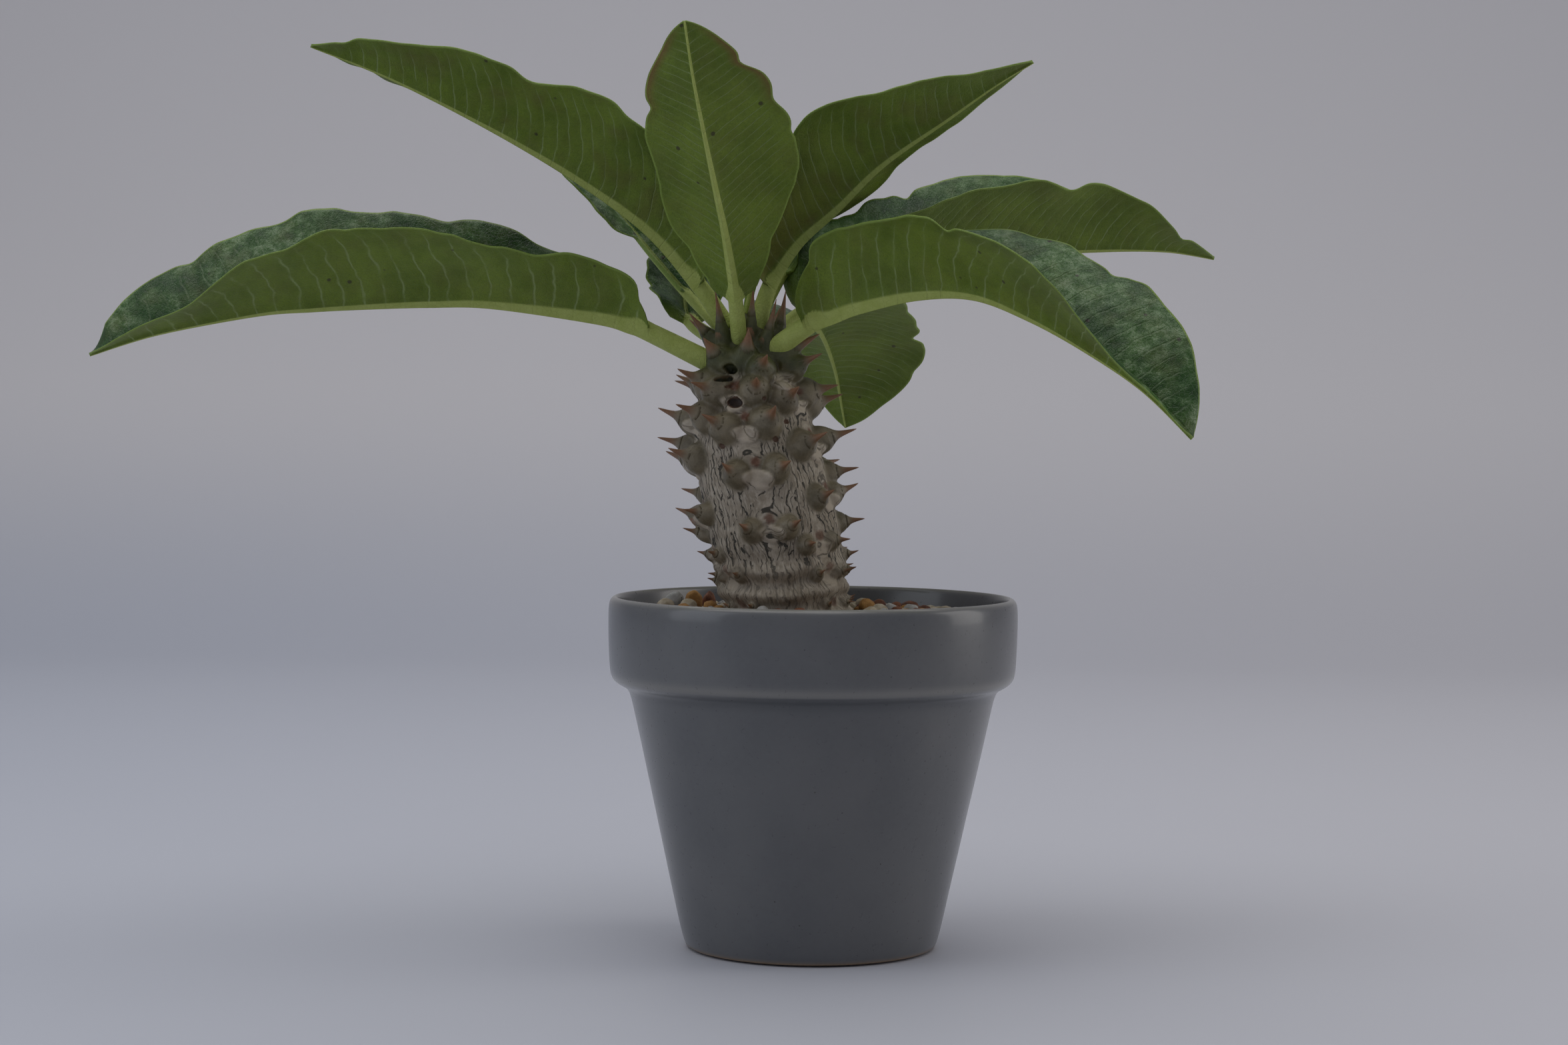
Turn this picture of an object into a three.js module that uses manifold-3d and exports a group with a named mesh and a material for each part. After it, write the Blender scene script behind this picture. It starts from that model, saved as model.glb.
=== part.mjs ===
// Potted pachypodium baronii: a glazed ceramic pot, its potting mix, a spiny swollen stem,
// ten grown leaves, two young ones and a top dressing of small stones.
// Millimetres, +Z up. The pot's axis is Z, its foot stands on Z = 0, and -Y is the front.
import * as THREE from 'three';
import { mergeVertices } from 'three/addons/utils/BufferGeometryUtils.js';
import Module from 'manifold-3d';

const wasm = await Module();
wasm.setup();

const DEGREE = Math.PI / 180;
const TOUCH_GAP = 0.3;

// Pot, as radius and height along the outside and then the inside
const FOOT_RADIUS = 33.3;
const FOOT_RING_WIDTH = 6;
const FOOT_RECESS = 2;
const FLOOR_TOP = 6;
const DRAIN_RADIUS = 7;
const RIM_HEIGHT = 94.4;
const LIP_RADIUS = 52.3;
const POT_SEGMENTS = 48;
const POT_OUTSIDE = [
  [FOOT_RADIUS, 0], [34.2, 1.6], [35.5, 6.8], [48.6, 66.5], [49.6, 69.6], [52.4, 71], [53.9, 72.3],
  [54.5, 74.6], [54.8, 80.3], [55, 86], [55, 92], [54.4, 93.7], [53.3, RIM_HEIGHT],
];
const POT_INSIDE = [
  [52.7, 94], [LIP_RADIUS, 93], [51.7, 88], [50, 80], [47, 70], [45.3, 66], [33, 10], [30.5, 7],
  [28, FLOOR_TOP],
];

// Potting mix: it fills the pot up to a low mound around the stem
const MIX_EDGE_HEIGHT = 87.5;
const MIX_MOUND_HEIGHT = 89.5;
const MIX_MOUND_RADIUS = 22;
const MIX_EDGE_RADIUS = 51.2;
// the wall slopes, so a little more than the touching gap is taken off the mix's radius
const MIX_SIDE_GAP = 0.36;

// Stem, from its buried end to the growing tip: height, sideways lean, radius
const STEM_ROWS = [
  [72, -6, 11], [78, -6.2, 15], [86, -6.5, 16.7], [92.6, -7.3, 17.1], [98, -8.2, 17.4], [104, -9.2, 17.8],
  [111, -10.6, 18.2], [118, -12.2, 18.1], [125, -13.7, 17.9], [132.4, -15.1, 17.3], [140, -16.3, 16.4],
  [147.6, -16.7, 14.6], [154.4, -16.6, 12.2], [160, -17.3, 9.6], [164, -18.2, 7.4], [168, -19.1, 5],
  [171, -19.5, 2.4],
];
const STEM_TIP = new THREE.Vector3(-19.6, 0, 172);
const STEM_TIP_RADIUS = 0.8;
const STEM_SIDES = 24;

// Each node of the stem bears a pair of spines on broad cushions: turn from the front, height
const SPINE_NODES = [
  [-45, 92.5], [56, 93.5], [-53, 101.5], [50, 102.5], [-74, 107], [44, 111], [0, 115.5], [-80, 118.5],
  [68, 124], [-2, 130.5], [-86, 133], [66, 138], [-7, 142.5], [-19, 150.5], [57, 149.5], [-72, 144],
  [-82, 152], [38, 156],
  [90, 94], [98, 103], [150, 99], [-150, 95], [-105, 99], [105, 107.5], [160, 111], [-108, 112.5],
  [112, 116.5], [175, 124], [-138, 123], [106, 130.5], [152, 136], [-165, 138], [-122, 136], [112, 148],
  [168, 149], [-145, 150],
];
const SPINE_SPREAD = 32 * DEGREE;
const SPINE_SIDE_STEP = 4.3;
const SPINE_ROOT_DEPTH = 1.2;
const SPINE_SIDES = 5;
// a spine's outline: share of its length, share of its cushion radius
const SPINE_OUTLINE = [[-0.2, 1], [0.32, 0.7], [0.58, 0.28], [1, 0.04]];
// length and cushion radius of a spine by height on the stem
const SPINE_GROWTH = [
  [92, 2.2, 1.8], [102, 3.2, 2.5], [108, 4.2, 3], [112, 5.6, 3.6], [118, 7.6, 4.1], [124, 7.8, 4.8],
  [131, 9.3, 5.1], [140, 9.6, 5.5], [150, 9.2, 5.4], [160, 8.2, 5.2],
];

// Spines of the crown, between the leaf stalks: root point, tip, cushion radius
const CROWN_SPINES = [
  [[-24.5, -6, 163], [-26.5, -9.5, 176], 1.9],
  [[-17.5, -6, 165], [-16.4, -9.5, 177.2], 1.9],
  [[-10.5, -3.5, 162], [-7.6, -5, 176.2], 2.2],
  [[-26.5, -1, 162], [-34, -3, 170], 2.2],
  [[-26, 3, 163], [-34.5, 6, 168.5], 1.9],
  [[-20, 6, 163], [-21.5, 11, 174], 1.9],
  [[-13, 5.5, 163], [-9.5, 11, 172], 1.9],
  [[-13.5, -6.5, 161], [-10.2, -9.8, 174], 2],
  [[-24.8, -7.5, 157.5], [-29.8, -12.5, 163.2], 3],
  [[-18.8, -8.5, 157.5], [-17, -13.8, 165.8], 3],
  [[-9.5, -5.5, 159.5], [1.3, -8.5, 164.3], 3],
];

// Leaves: rows from the stalk's foot to the tip. Each row is the midrib's point, then the half
// width and the lift in degrees of the half that lies nearer the front, and of the other half.
// The first half of an upright leaf is its left one.
const LEAVES = {
  leaf_left_low: [
    [-24.5, -4, 156],
    [-44, -6.3, 165.4],
    [-49, -6.7, 167.3, 11, 64, 10, 55],
    [-58, -7, 169.6, 16, 56, 15, 52],
    [-86, -8, 173, 24, 38, 24, 59],
    [-103, -9, 172.9, 28, 43, 27, 61],
    [-120, -10, 172, 28, 43, 28, 62],
    [-133.5, -11, 171, 27, 38, 30, 63],
    [-148, -12, 169.5, 23, 28, 27, 58],
    [-174, -13, 164, 11, 10, 17, 55],
    [-192, -14, 158],
  ],
  leaf_left_high: [
    [-23, -2, 166.5],
    [-31, -3, 178],
    [-44, -5, 192.5, 18, 50, 18, 45],
    [-63, -8, 206, 27, 46, 27, 38],
    [-86, -11, 219, 24, 43, 24, 25],
    [-112, -14, 231.5, 14, 36, 14, 0],
    [-133, -16, 239.5],
  ],
  leaf_front: [
    [-20, -3.5, 161],
    [-21.2, -14, 174],
    [-22.8, -21, 185, 13.5, 30, 14, 30],
    [-24.1, -26, 192.5, 17.5, 30, 20, 27],
    [-25.7, -31, 200, 18, 29, 24, 22],
    [-28.8, -40, 215, 18, 30, 22, 14],
    [-31.5, -47, 229, 13, 25, 16, 10],
    [-33.4, -52, 242],
  ],
  leaf_right_high: [
    [-16, -2, 166],
    [-12.7, -3, 177.5],
    [-5.5, -5, 189, 12.5, 42, 12, 9],
    [5, -8, 198.5, 22, 45, 23, 5],
    [17, -12, 210, 24.5, 45, 24, 3],
    [33, -16, 221, 17.5, 35, 18, 3],
    [46, -19, 230, 8.5, 20, 9, 3],
    [56, -21, 236],
  ],
  leaf_right_near: [
    [-12.5, -5.5, 160],
    [-2, -11.4, 167.5],
    [4.5, -14.5, 170.1, 19, 72, 15, 45],
    [11.5, -18, 172.5, 21, 68, 20, 46],
    [26.5, -26, 175.5, 23.5, 56, 25, 42],
    [41, -34, 175, 27.5, 38, 28, 37],
    [55, -42, 169, 30, 34, 27, 40],
    [69, -50, 160.5, 22, 26, 25, 46],
    [82.5, -57, 150.5, 9, 14, 17, 52],
    [94, -62, 138.5],
  ],
  leaf_right_far: [
    [-13, 2.5, 163],
    [-3, 9, 171.5],
    [14, 17, 180, 16, 52, 20, 68],
    [36, 25, 185.5, 24, 48, 26, 56],
    [58.5, 32, 189, 26, 44, 26, 58],
    [81.5, 38, 190.5, 20, 50, 20, 50],
    [99, 43, 190.5, 10, 28, 10, 30],
    [112.5, 46, 188.5],
  ],
  leaf_back_right: [
    [-14.5, 6, 159],
    [-5, 27, 167],
    [-1, 45, 169, 24, 14, 18, 22],
    [2.5, 65, 165.5, 26.5, 10, 20, 18],
    [6, 83, 156.5, 26, 5, 15, 14],
    [8, 94, 147, 14, 0, 7, 8],
    [9.5, 99, 139.5],
  ],
  leaf_back_left: [
    [-23.5, 3, 164.5],
    [-34, 12, 175],
    [-43.5, 18, 185.5, 0, 20, 12, 45],
    [-48.3, 21.7, 191.2, 0, 6, 17, 44],
    [-52.5, 25, 196, 10, 2, 20, 42],
    [-64, 32, 209, 14, 8, 19, 36],
    [-73, 38, 220, 9, 12, 11, 25],
    [-80, 42, 227],
  ],
  leaf_back: [
    [-20.5, 6, 160.5],
    [-34, 20, 168.5],
    [-37, 34, 177, 13, 36, 13, 30],
    [-41, 50, 186, 13, 66, 18, 28],
    [-45, 66, 193, 14, 58, 18, 26],
    [-49, 82, 197, 12, 40, 13, 20],
    [-53, 96, 197],
  ],
  leaf_back_high: [
    [-17.2, 3.5, 166.5],
    [-10, 16, 181],
    [-3, 26, 192, 11, 35, 11, 35],
    [5, 36, 203, 20.5, 17, 17, 30],
    [13, 45, 213, 14, 25, 14, 25],
    [20, 52, 221, 7, 20, 7, 20],
    [26, 57, 227],
  ],
  young_leaf_front: [
    [-18.6, -1, 170.5],
    [-17.5, -2.5, 176, 1.2, 50, 1.2, 50],
    [-17, -3, 182, 1.8, 50, 1.8, 50],
    [-17.2, -3, 187],
  ],
  young_leaf_back: [
    [-20.6, 1, 170.5],
    [-21.5, 3, 177, 1.5, 50, 1.5, 50],
    [-22, 5, 184, 2.2, 50, 2.2, 50],
    [-23, 6, 190],
  ],
};
const BLADE_THICKNESS = 0.9;
const STALK_RADIUS = 2.3;
// leaves whose stalk is thicker or thinner than the usual one
const STALK_SHARES = {
  leaf_left_low: 1.25, leaf_right_near: 1.25, leaf_left_high: 1.05, leaf_back_left: 0.65,
};
const RIB_TIP_RADIUS = 0.6;
// the rib's flank and keel, and the blade's narrowest half width, as shares of its radius
const RIB_FLANK_OUT = 0.75;
const RIB_FLANK_DOWN = 0.7;
const RIB_KEEL_DOWN = 1.3;
const BLADE_LEAST_SHARE = 1.05;
const GROOVE_LIFT = 0.72;
const YOUNG_STALK_RADIUS = 0.9;
const RINGS_PER_ROW = 2;
const UPRIGHT_LEAVES = ['leaf_front', 'young_leaf_front', 'young_leaf_back'];

// Stones of the top dressing: x, y, half sizes, turn, colour
const STONES = [
  [-38.2, 15, 2.9, 2.4, 3.2, 10, 'pale_stone'], [-32.9, 19.5, 2.6, 2.3, 3.2, 40, 'ochre_stone'],
  [-28.8, 24, 2.3, 2.1, 3.1, 75, 'brown_stone'], [-40.2, 9, 2.7, 2.2, 2.4, 20, 'cream_stone'],
  [-34, 10.6, 2.5, 2.1, 2.3, 160, 'cream_stone'], [-40, 0.5, 2.4, 2, 1.7, 60, 'brown_stone'],
  [-35.5, -9, 2.5, 2.2, 1.8, 15, 'ochre_stone'], [-28, -22, 2.7, 2.3, 1.8, 95, 'cream_stone'],
  [-16.5, -27.5, 2.6, 2.2, 1.9, 30, 'pale_stone'], [-4, -29.5, 2.5, 2, 1.8, 160, 'brown_stone'],
  [10, -28, 2.7, 2.3, 1.9, 50, 'cream_stone'], [20, -22, 2.4, 2.1, 1.7, 110, 'ochre_stone'],
  [14.6, 9, 2.4, 2.1, 2.1, 35, 'ochre_stone'], [18.2, 14.5, 2.4, 2, 1.8, 80, 'brown_stone'],
  [14, 24, 2.5, 2.2, 1.8, 140, 'cream_stone'], [3, 30, 2.6, 2.2, 1.9, 25, 'pale_stone'],
  [-9, 33, 2.4, 2.1, 1.8, 70, 'ochre_stone'], [-20, 31, 2.6, 2.2, 1.9, 120, 'cream_stone'],
  [27, 30, 2.5, 2.1, 1.8, 155, 'brown_stone'], [-33, -31, 2.5, 2.2, 1.8, 5, 'brown_stone'],
  [-10, -41, 2.6, 2.2, 1.8, 65, 'cream_stone'], [8, -40, 2.4, 2, 1.8, 100, 'ochre_stone'],
  [31, -29, 2.6, 2.3, 1.8, 145, 'pale_stone'], [-1, 43, 2.5, 2.1, 1.8, 85, 'brown_stone'],
];
const STONE_ROUGHNESS = 0.12;
const SAME_POINT = 1e-5;

const MATERIALS = {
  glaze: { color: 0x595c60, roughness: 0.35, metalness: 0 },
  mix: { color: 0x4a3a2c, roughness: 1, metalness: 0 },
  bark: { color: 0x8d8578, roughness: 0.8, metalness: 0 },
  leaf: { color: 0x44622c, roughness: 0.5, metalness: 0 },
  young_leaf: { color: 0x86a052, roughness: 0.5, metalness: 0 },
  pale_stone: { color: 0xb5b3ae, roughness: 0.9, metalness: 0 },
  cream_stone: { color: 0xb7a686, roughness: 0.85, metalness: 0 },
  ochre_stone: { color: 0xa9702f, roughness: 0.8, metalness: 0 },
  brown_stone: { color: 0x6d3c22, roughness: 0.8, metalness: 0 },
};

function toManifold(geometry) {
  const bare = geometry.clone();
  bare.deleteAttribute('normal');
  bare.deleteAttribute('uv');
  const merged = mergeVertices(bare, SAME_POINT);
  return new wasm.Manifold(new wasm.Mesh({
    numProp: 3,
    vertProperties: new Float32Array(merged.attributes.position.array),
    triVerts: new Uint32Array(merged.index.array),
  }));
}

function toGeometry(solid) {
  const mesh = solid.getMesh();
  const geometry = new THREE.BufferGeometry();
  geometry.setAttribute('position', new THREE.BufferAttribute(new Float32Array(mesh.vertProperties), 3));
  geometry.setIndex(new THREE.BufferAttribute(new Uint32Array(mesh.triVerts), 1));
  geometry.computeVertexNormals();
  return geometry;
}

function largestBody(solid) {
  return solid.decompose().reduce((best, body) => (body.volume() > best.volume() ? body : best));
}

function makeMesh(name, geometry, materialName) {
  const mesh = new THREE.Mesh(geometry, new THREE.MeshStandardMaterial(MATERIALS[materialName]));
  mesh.name = name;
  return mesh;
}

// A closed skin over rings of equal length, each a list of points that runs the same way round.
function loftRings(rings) {
  const count = rings[0].length;
  const positions = rings.flat().flatMap((point) => [point.x, point.y, point.z]);
  const faces = [];
  for (let ring = 0; ring < rings.length - 1; ring += 1) {
    for (let side = 0; side < count; side += 1) {
      const a = ring * count + side;
      const b = ring * count + ((side + 1) % count);
      faces.push(a, b, b + count, a, b + count, a + count);
    }
  }
  const last = (rings.length - 1) * count;
  for (let side = 1; side < count - 1; side += 1) {
    faces.push(0, side + 1, side);
    faces.push(last, last + side, last + side + 1);
  }
  const geometry = new THREE.BufferGeometry();
  geometry.setAttribute('position', new THREE.BufferAttribute(new Float32Array(positions), 3));
  geometry.setIndex(faces);
  return geometry;
}

function interpolate(rows, at) {
  if (at <= rows[0][0]) return rows[0].slice(1);
  for (let i = 1; i < rows.length; i += 1) {
    if (at <= rows[i][0]) {
      const part = (at - rows[i - 1][0]) / (rows[i][0] - rows[i - 1][0]);
      return rows[i].slice(1).map((value, k) => rows[i - 1][k + 1] + (value - rows[i - 1][k + 1]) * part);
    }
  }
  return rows[rows.length - 1].slice(1);
}

function makePot() {
  const recessEdge = FOOT_RADIUS - FOOT_RING_WIDTH;
  const profile = [
    ...POT_OUTSIDE,
    ...POT_INSIDE,
    [DRAIN_RADIUS, FLOOR_TOP], [DRAIN_RADIUS, FOOT_RECESS], [recessEdge, FOOT_RECESS], [recessEdge, 0],
    POT_OUTSIDE[0],
  ];
  const points = profile.map(([radius, height]) => new THREE.Vector2(radius, height));
  return new THREE.LatheGeometry(points, POT_SEGMENTS).rotateX(Math.PI / 2);
}

function mixHeight(radius) {
  const part = THREE.MathUtils.clamp((radius - MIX_MOUND_RADIUS) / (LIP_RADIUS - MIX_MOUND_RADIUS), 0, 1);
  return MIX_MOUND_HEIGHT + (MIX_EDGE_HEIGHT - MIX_MOUND_HEIGHT) * part;
}

function makeMix(stemRoom) {
  const wall = POT_INSIDE.filter(([, height]) => height < MIX_EDGE_HEIGHT).reverse()
    .map(([radius, height]) => [radius - MIX_SIDE_GAP, height + TOUCH_GAP]);
  const profile = [
    [0, FLOOR_TOP + TOUCH_GAP], ...wall, [MIX_EDGE_RADIUS, mixHeight(MIX_EDGE_RADIUS)],
    [MIX_MOUND_RADIUS, MIX_MOUND_HEIGHT], [0, MIX_MOUND_HEIGHT],
  ];
  const points = profile.map(([radius, height]) => new THREE.Vector2(radius, height));
  const body = toManifold(new THREE.LatheGeometry(points, POT_SEGMENTS).rotateX(Math.PI / 2));
  return toGeometry(largestBody(body.subtract(stemRoom)));
}

function ringOfPoints(center, side, up, radius, sides) {
  return Array.from({ length: sides }, (_, k) => {
    const turn = (k / sides) * Math.PI * 2;
    return center.clone()
      .addScaledVector(side, Math.cos(turn) * radius)
      .addScaledVector(up, Math.sin(turn) * radius);
  });
}

// One spine: a cushion that is broad at its root and narrows in a hollow curve to the tip.
function makeSpine(root, tip, radius, grow) {
  const along = tip.clone().sub(root);
  const axis = along.clone().normalize();
  const side = new THREE.Vector3(0, 0, 1).cross(axis).normalize();
  const up = axis.clone().cross(side);
  const rings = SPINE_OUTLINE.map(([part, share]) => ringOfPoints(
    root.clone().addScaledVector(along, part).addScaledVector(axis, part === 1 ? grow : 0),
    side, up, radius * share + grow, SPINE_SIDES,
  ));
  return toManifold(loftRings(rings));
}

function stemSpines(grow) {
  const spines = [];
  for (const [turn, height] of SPINE_NODES) {
    const [lean, stemRadius] = interpolate(STEM_ROWS, height);
    const [length, cushion] = interpolate(SPINE_GROWTH, height);
    const outward = new THREE.Vector3(Math.sin(turn * DEGREE), -Math.cos(turn * DEGREE), 0);
    const sideways = new THREE.Vector3(Math.cos(turn * DEGREE), Math.sin(turn * DEGREE), 0);
    for (const hand of [-1, 1]) {
      const root = new THREE.Vector3(lean, 0, height)
        .addScaledVector(outward, stemRadius - SPINE_ROOT_DEPTH)
        .addScaledVector(sideways, hand * SPINE_SIDE_STEP);
      const tip = root.clone()
        .addScaledVector(outward, (length + SPINE_ROOT_DEPTH) * Math.cos(SPINE_SPREAD))
        .addScaledVector(sideways, hand * length * Math.sin(SPINE_SPREAD));
      spines.push(makeSpine(root, tip, cushion, grow));
    }
  }
  for (const [root, tip, cushion] of CROWN_SPINES) {
    spines.push(makeSpine(new THREE.Vector3(...root), new THREE.Vector3(...tip), cushion, grow));
  }
  return spines;
}

function stemCore(grow) {
  const up = new THREE.Vector3(0, 1, 0);
  const side = new THREE.Vector3(1, 0, 0);
  const rings = STEM_ROWS.map(([height, lean, radius], row) => ringOfPoints(
    new THREE.Vector3(lean, 0, row === 0 ? height - grow : height), side, up, radius + grow, STEM_SIDES,
  ));
  const tip = STEM_TIP.clone().add(new THREE.Vector3(0, 0, grow));
  rings.push(ringOfPoints(tip, side, up, STEM_TIP_RADIUS + grow, STEM_SIDES));
  return toManifold(loftRings(rings));
}

function makeStem(grow) {
  return largestBody(stemSpines(grow).reduce((whole, spine) => whole.add(spine), stemCore(grow)));
}

// The sideways and upward directions of a leaf at a point of its midrib.
function leafDirections(name, along) {
  const upright = UPRIGHT_LEAVES.includes(name);
  const side = upright ? new THREE.Vector3(-1, 0, 0) : along.clone().cross(new THREE.Vector3(0, 0, 1));
  if (side.y > 0) side.negate();
  side.addScaledVector(along, -side.dot(along)).normalize();
  const up = side.clone().cross(along).normalize();
  const rightWay = upright ? up.y > 0 : up.z > 0;
  return { side, up: rightWay ? up : up.negate() };
}

// A leaf: stalk, midrib and a blade folded along the midrib, as one thin closed solid.
function makeLeaf(name, rows) {
  const stalkRadius = STALK_RADIUS * (STALK_SHARES[name] ?? 1);
  const ribRadius = name.startsWith('young') ? YOUNG_STALK_RADIUS : stalkRadius;
  const curve = new THREE.CatmullRomCurve3(rows.map((row) => new THREE.Vector3(...row.slice(0, 3))));
  const halves = rows.map((row, index) => [index, ...[...row.slice(3), 0, 0, 0, 0].slice(0, 4)]);
  const count = (rows.length - 1) * RINGS_PER_ROW;
  const rings = Array.from({ length: count + 1 }, (_, ring) => {
    const part = ring / count;
    const { side, up } = leafDirections(name, curve.getTangent(part));
    const [nearWidth, nearLift, farWidth, farLift] = interpolate(halves, ring / RINGS_PER_ROW);
    const rib = THREE.MathUtils.lerp(ribRadius, RIB_TIP_RADIUS, part);
    return leafSection(curve.getPoint(part), side, up, rib, [nearWidth, nearLift], [farWidth, farLift]);
  });
  const solid = toManifold(loftRings(rings));
  return solid.volume() > 0 ? solid : toManifold(loftRings(rings.map((ring) => ring.reverse())));
}

function leafSection(center, side, up, rib, [nearWidth, nearLift], [farWidth, farLift]) {
  const half = BLADE_THICKNESS / 2;
  const point = (sideways, upward) => center.clone()
    .addScaledVector(side, sideways)
    .addScaledVector(up, upward);
  const edge = (width, lift, hand, face) => {
    const reach = Math.max(width, rib * BLADE_LEAST_SHARE);
    const turn = lift * DEGREE;
    return point(
      hand * (reach * Math.cos(turn) - face * half * Math.sin(turn)),
      reach * Math.sin(turn) + face * half * Math.cos(turn),
    );
  };
  return [
    point(0, GROOVE_LIFT),
    edge(nearWidth, nearLift, 1, 1), edge(nearWidth, nearLift, 1, -1),
    point(rib * RIB_FLANK_OUT, -rib * RIB_FLANK_DOWN), point(0, -rib * RIB_KEEL_DOWN),
    point(-rib * RIB_FLANK_OUT, -rib * RIB_FLANK_DOWN),
    edge(farWidth, farLift, -1, -1), edge(farWidth, farLift, -1, 1),
  ];
}

// A small rounded stone: a ball pushed in and out by two slow waves, then seated on the mix.
function makeStone([x, y, halfX, halfY, halfZ, turn], index) {
  const ball = new THREE.IcosahedronGeometry(1, 1);
  const position = ball.attributes.position;
  const point = new THREE.Vector3();
  for (let i = 0; i < position.count; i += 1) {
    point.fromBufferAttribute(position, i);
    const push = Math.sin(point.x * 3.1 + index) * Math.cos(point.y * 2.7 - index * 1.7 + point.z * 2);
    point.multiplyScalar(1 + STONE_ROUGHNESS * push);
    position.setXYZ(i, point.x, point.y, point.z);
  }
  ball.scale(halfX, halfY, halfZ);
  ball.rotateZ(turn * DEGREE);
  ball.computeBoundingBox();
  const inner = Math.hypot(x, y) - Math.max(halfX, halfY);
  ball.translate(x, y, mixHeight(inner) + TOUCH_GAP - ball.boundingBox.min.z);
  return toGeometry(toManifold(ball));
}

const group = new THREE.Group();
const stemRoom = makeStem(TOUCH_GAP);
group.add(makeMesh('pot', makePot(), 'glaze'));
group.add(makeMesh('potting_mix', makeMix(stemCore(TOUCH_GAP)), 'mix'));
group.add(makeMesh('stem', toGeometry(makeStem(0)), 'bark'));
for (const [name, rows] of Object.entries(LEAVES)) {
  const solid = largestBody(makeLeaf(name, rows).subtract(stemRoom));
  group.add(makeMesh(name, toGeometry(solid), name.startsWith('young') ? 'young_leaf' : 'leaf'));
}
STONES.forEach((stone, index) => {
  const label = String(index + 1).padStart(2, '0');
  group.add(makeMesh(`stone_${label}`, makeStone(stone, index), stone[6]));
});

export default group;
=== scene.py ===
import math
import bmesh
import bpy
import numpy as np
from mathutils import Matrix, Vector


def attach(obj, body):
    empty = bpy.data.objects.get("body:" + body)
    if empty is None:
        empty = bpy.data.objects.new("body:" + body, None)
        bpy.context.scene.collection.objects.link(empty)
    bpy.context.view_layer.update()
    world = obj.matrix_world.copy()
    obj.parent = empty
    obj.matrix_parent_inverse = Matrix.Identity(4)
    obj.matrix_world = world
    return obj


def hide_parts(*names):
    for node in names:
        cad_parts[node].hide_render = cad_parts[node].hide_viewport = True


# The looks of the potted pachypodium. Shapes are worked out in millimetres, in the frame of
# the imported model, and turned into metres where a mesh is made.
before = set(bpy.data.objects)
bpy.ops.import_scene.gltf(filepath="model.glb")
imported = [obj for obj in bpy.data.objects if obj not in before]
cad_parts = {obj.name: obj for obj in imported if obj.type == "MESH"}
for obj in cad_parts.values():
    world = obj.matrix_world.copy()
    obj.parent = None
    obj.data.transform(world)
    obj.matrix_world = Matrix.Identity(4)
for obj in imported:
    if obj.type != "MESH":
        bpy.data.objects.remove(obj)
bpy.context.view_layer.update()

MM = 0.001
SEED = 11
TURN = 2 * math.pi

# Stem: height, sideways lean, radius, as in the CAD part but with a thinner tip
STEM_ROWS = [
    (72, -6, 11), (78, -6.2, 15), (86, -6.5, 16.7), (92.6, -7.3, 17.1), (98, -8.2, 17.4), (104, -9.2, 17.8),
    (111, -10.6, 18.2), (118, -12.2, 18.1), (125, -13.7, 17.9), (132.4, -15.1, 17.3), (140, -16.3, 16.4),
    (147.6, -16.7, 14.6), (154.4, -16.6, 12.2), (160, -17.3, 9.6), (164, -18.2, 7.4), (168, -19.1, 5),
    (171, -19.5, 2.4), (172, -19.6, 0.2),
]

# Nodes of the stem: turn from the front in degrees, height, as in the CAD part
SPINE_NODES = [
    (-45, 92.5), (56, 93.5), (-53, 101.5), (50, 102.5), (-74, 107), (44, 111), (0, 115.5), (-80, 118.5),
    (68, 124), (-2, 130.5), (-86, 133), (66, 138), (-7, 142.5), (-19, 150.5), (57, 149.5), (-72, 144),
    (-82, 152), (38, 156),
    (90, 94), (98, 103), (150, 99), (-150, 95), (-105, 99), (105, 107.5), (160, 111), (-108, 112.5),
    (112, 116.5), (175, 124), (-138, 123), (106, 130.5), (152, 136), (-165, 138), (-122, 136), (112, 148),
    (168, 149), (-145, 150),
]
SPINE_SPREAD = math.radians(32)
SPINE_ROOT_DEPTH = 1.2
# height on the stem, length and bulb radius of a spine
SPINE_GROWTH = [
    (92, 2.2, 1.4), (102, 3.2, 1.9), (108, 4.2, 2.3), (112, 5.6, 2.7), (118, 7.6, 3.1), (124, 7.8, 3.7),
    (131, 9.3, 3.9), (140, 9.6, 4.3), (150, 9.2, 4.2), (160, 8.2, 4),
]
# Slender spines of the crown: root, tip, radius at the root
CROWN_SPINES = [
    ((-24.5, -6, 163), (-26.5, -9.5, 176), 2.2),
    ((-17.5, -6, 165), (-16.4, -9.5, 177.2), 2.0),
    ((-10.5, -3.5, 162), (-7.6, -5, 176.2), 2.6),
    ((-26.5, -1, 162), (-34, -3, 170), 3.0),
    ((-26, 3, 163), (-34.5, 6, 168.5), 2.2),
    ((-20, 6, 163), (-21.5, 11, 174), 2.2),
    ((-13, 5.5, 163), (-9.5, 11, 172), 2.4),
    ((-13.5, -6.5, 161), (-10.2, -9.8, 174), 2.3),
    ((-24.8, -7.5, 157.5), (-29.8, -12.5, 163.2), 4.0),
    ((-18.8, -8.5, 157.5), (-17, -13.8, 165.8), 4.0),
    ((-9.5, -5.5, 159.5), (1.3, -8.5, 164.3), 3.6),
]

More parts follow.
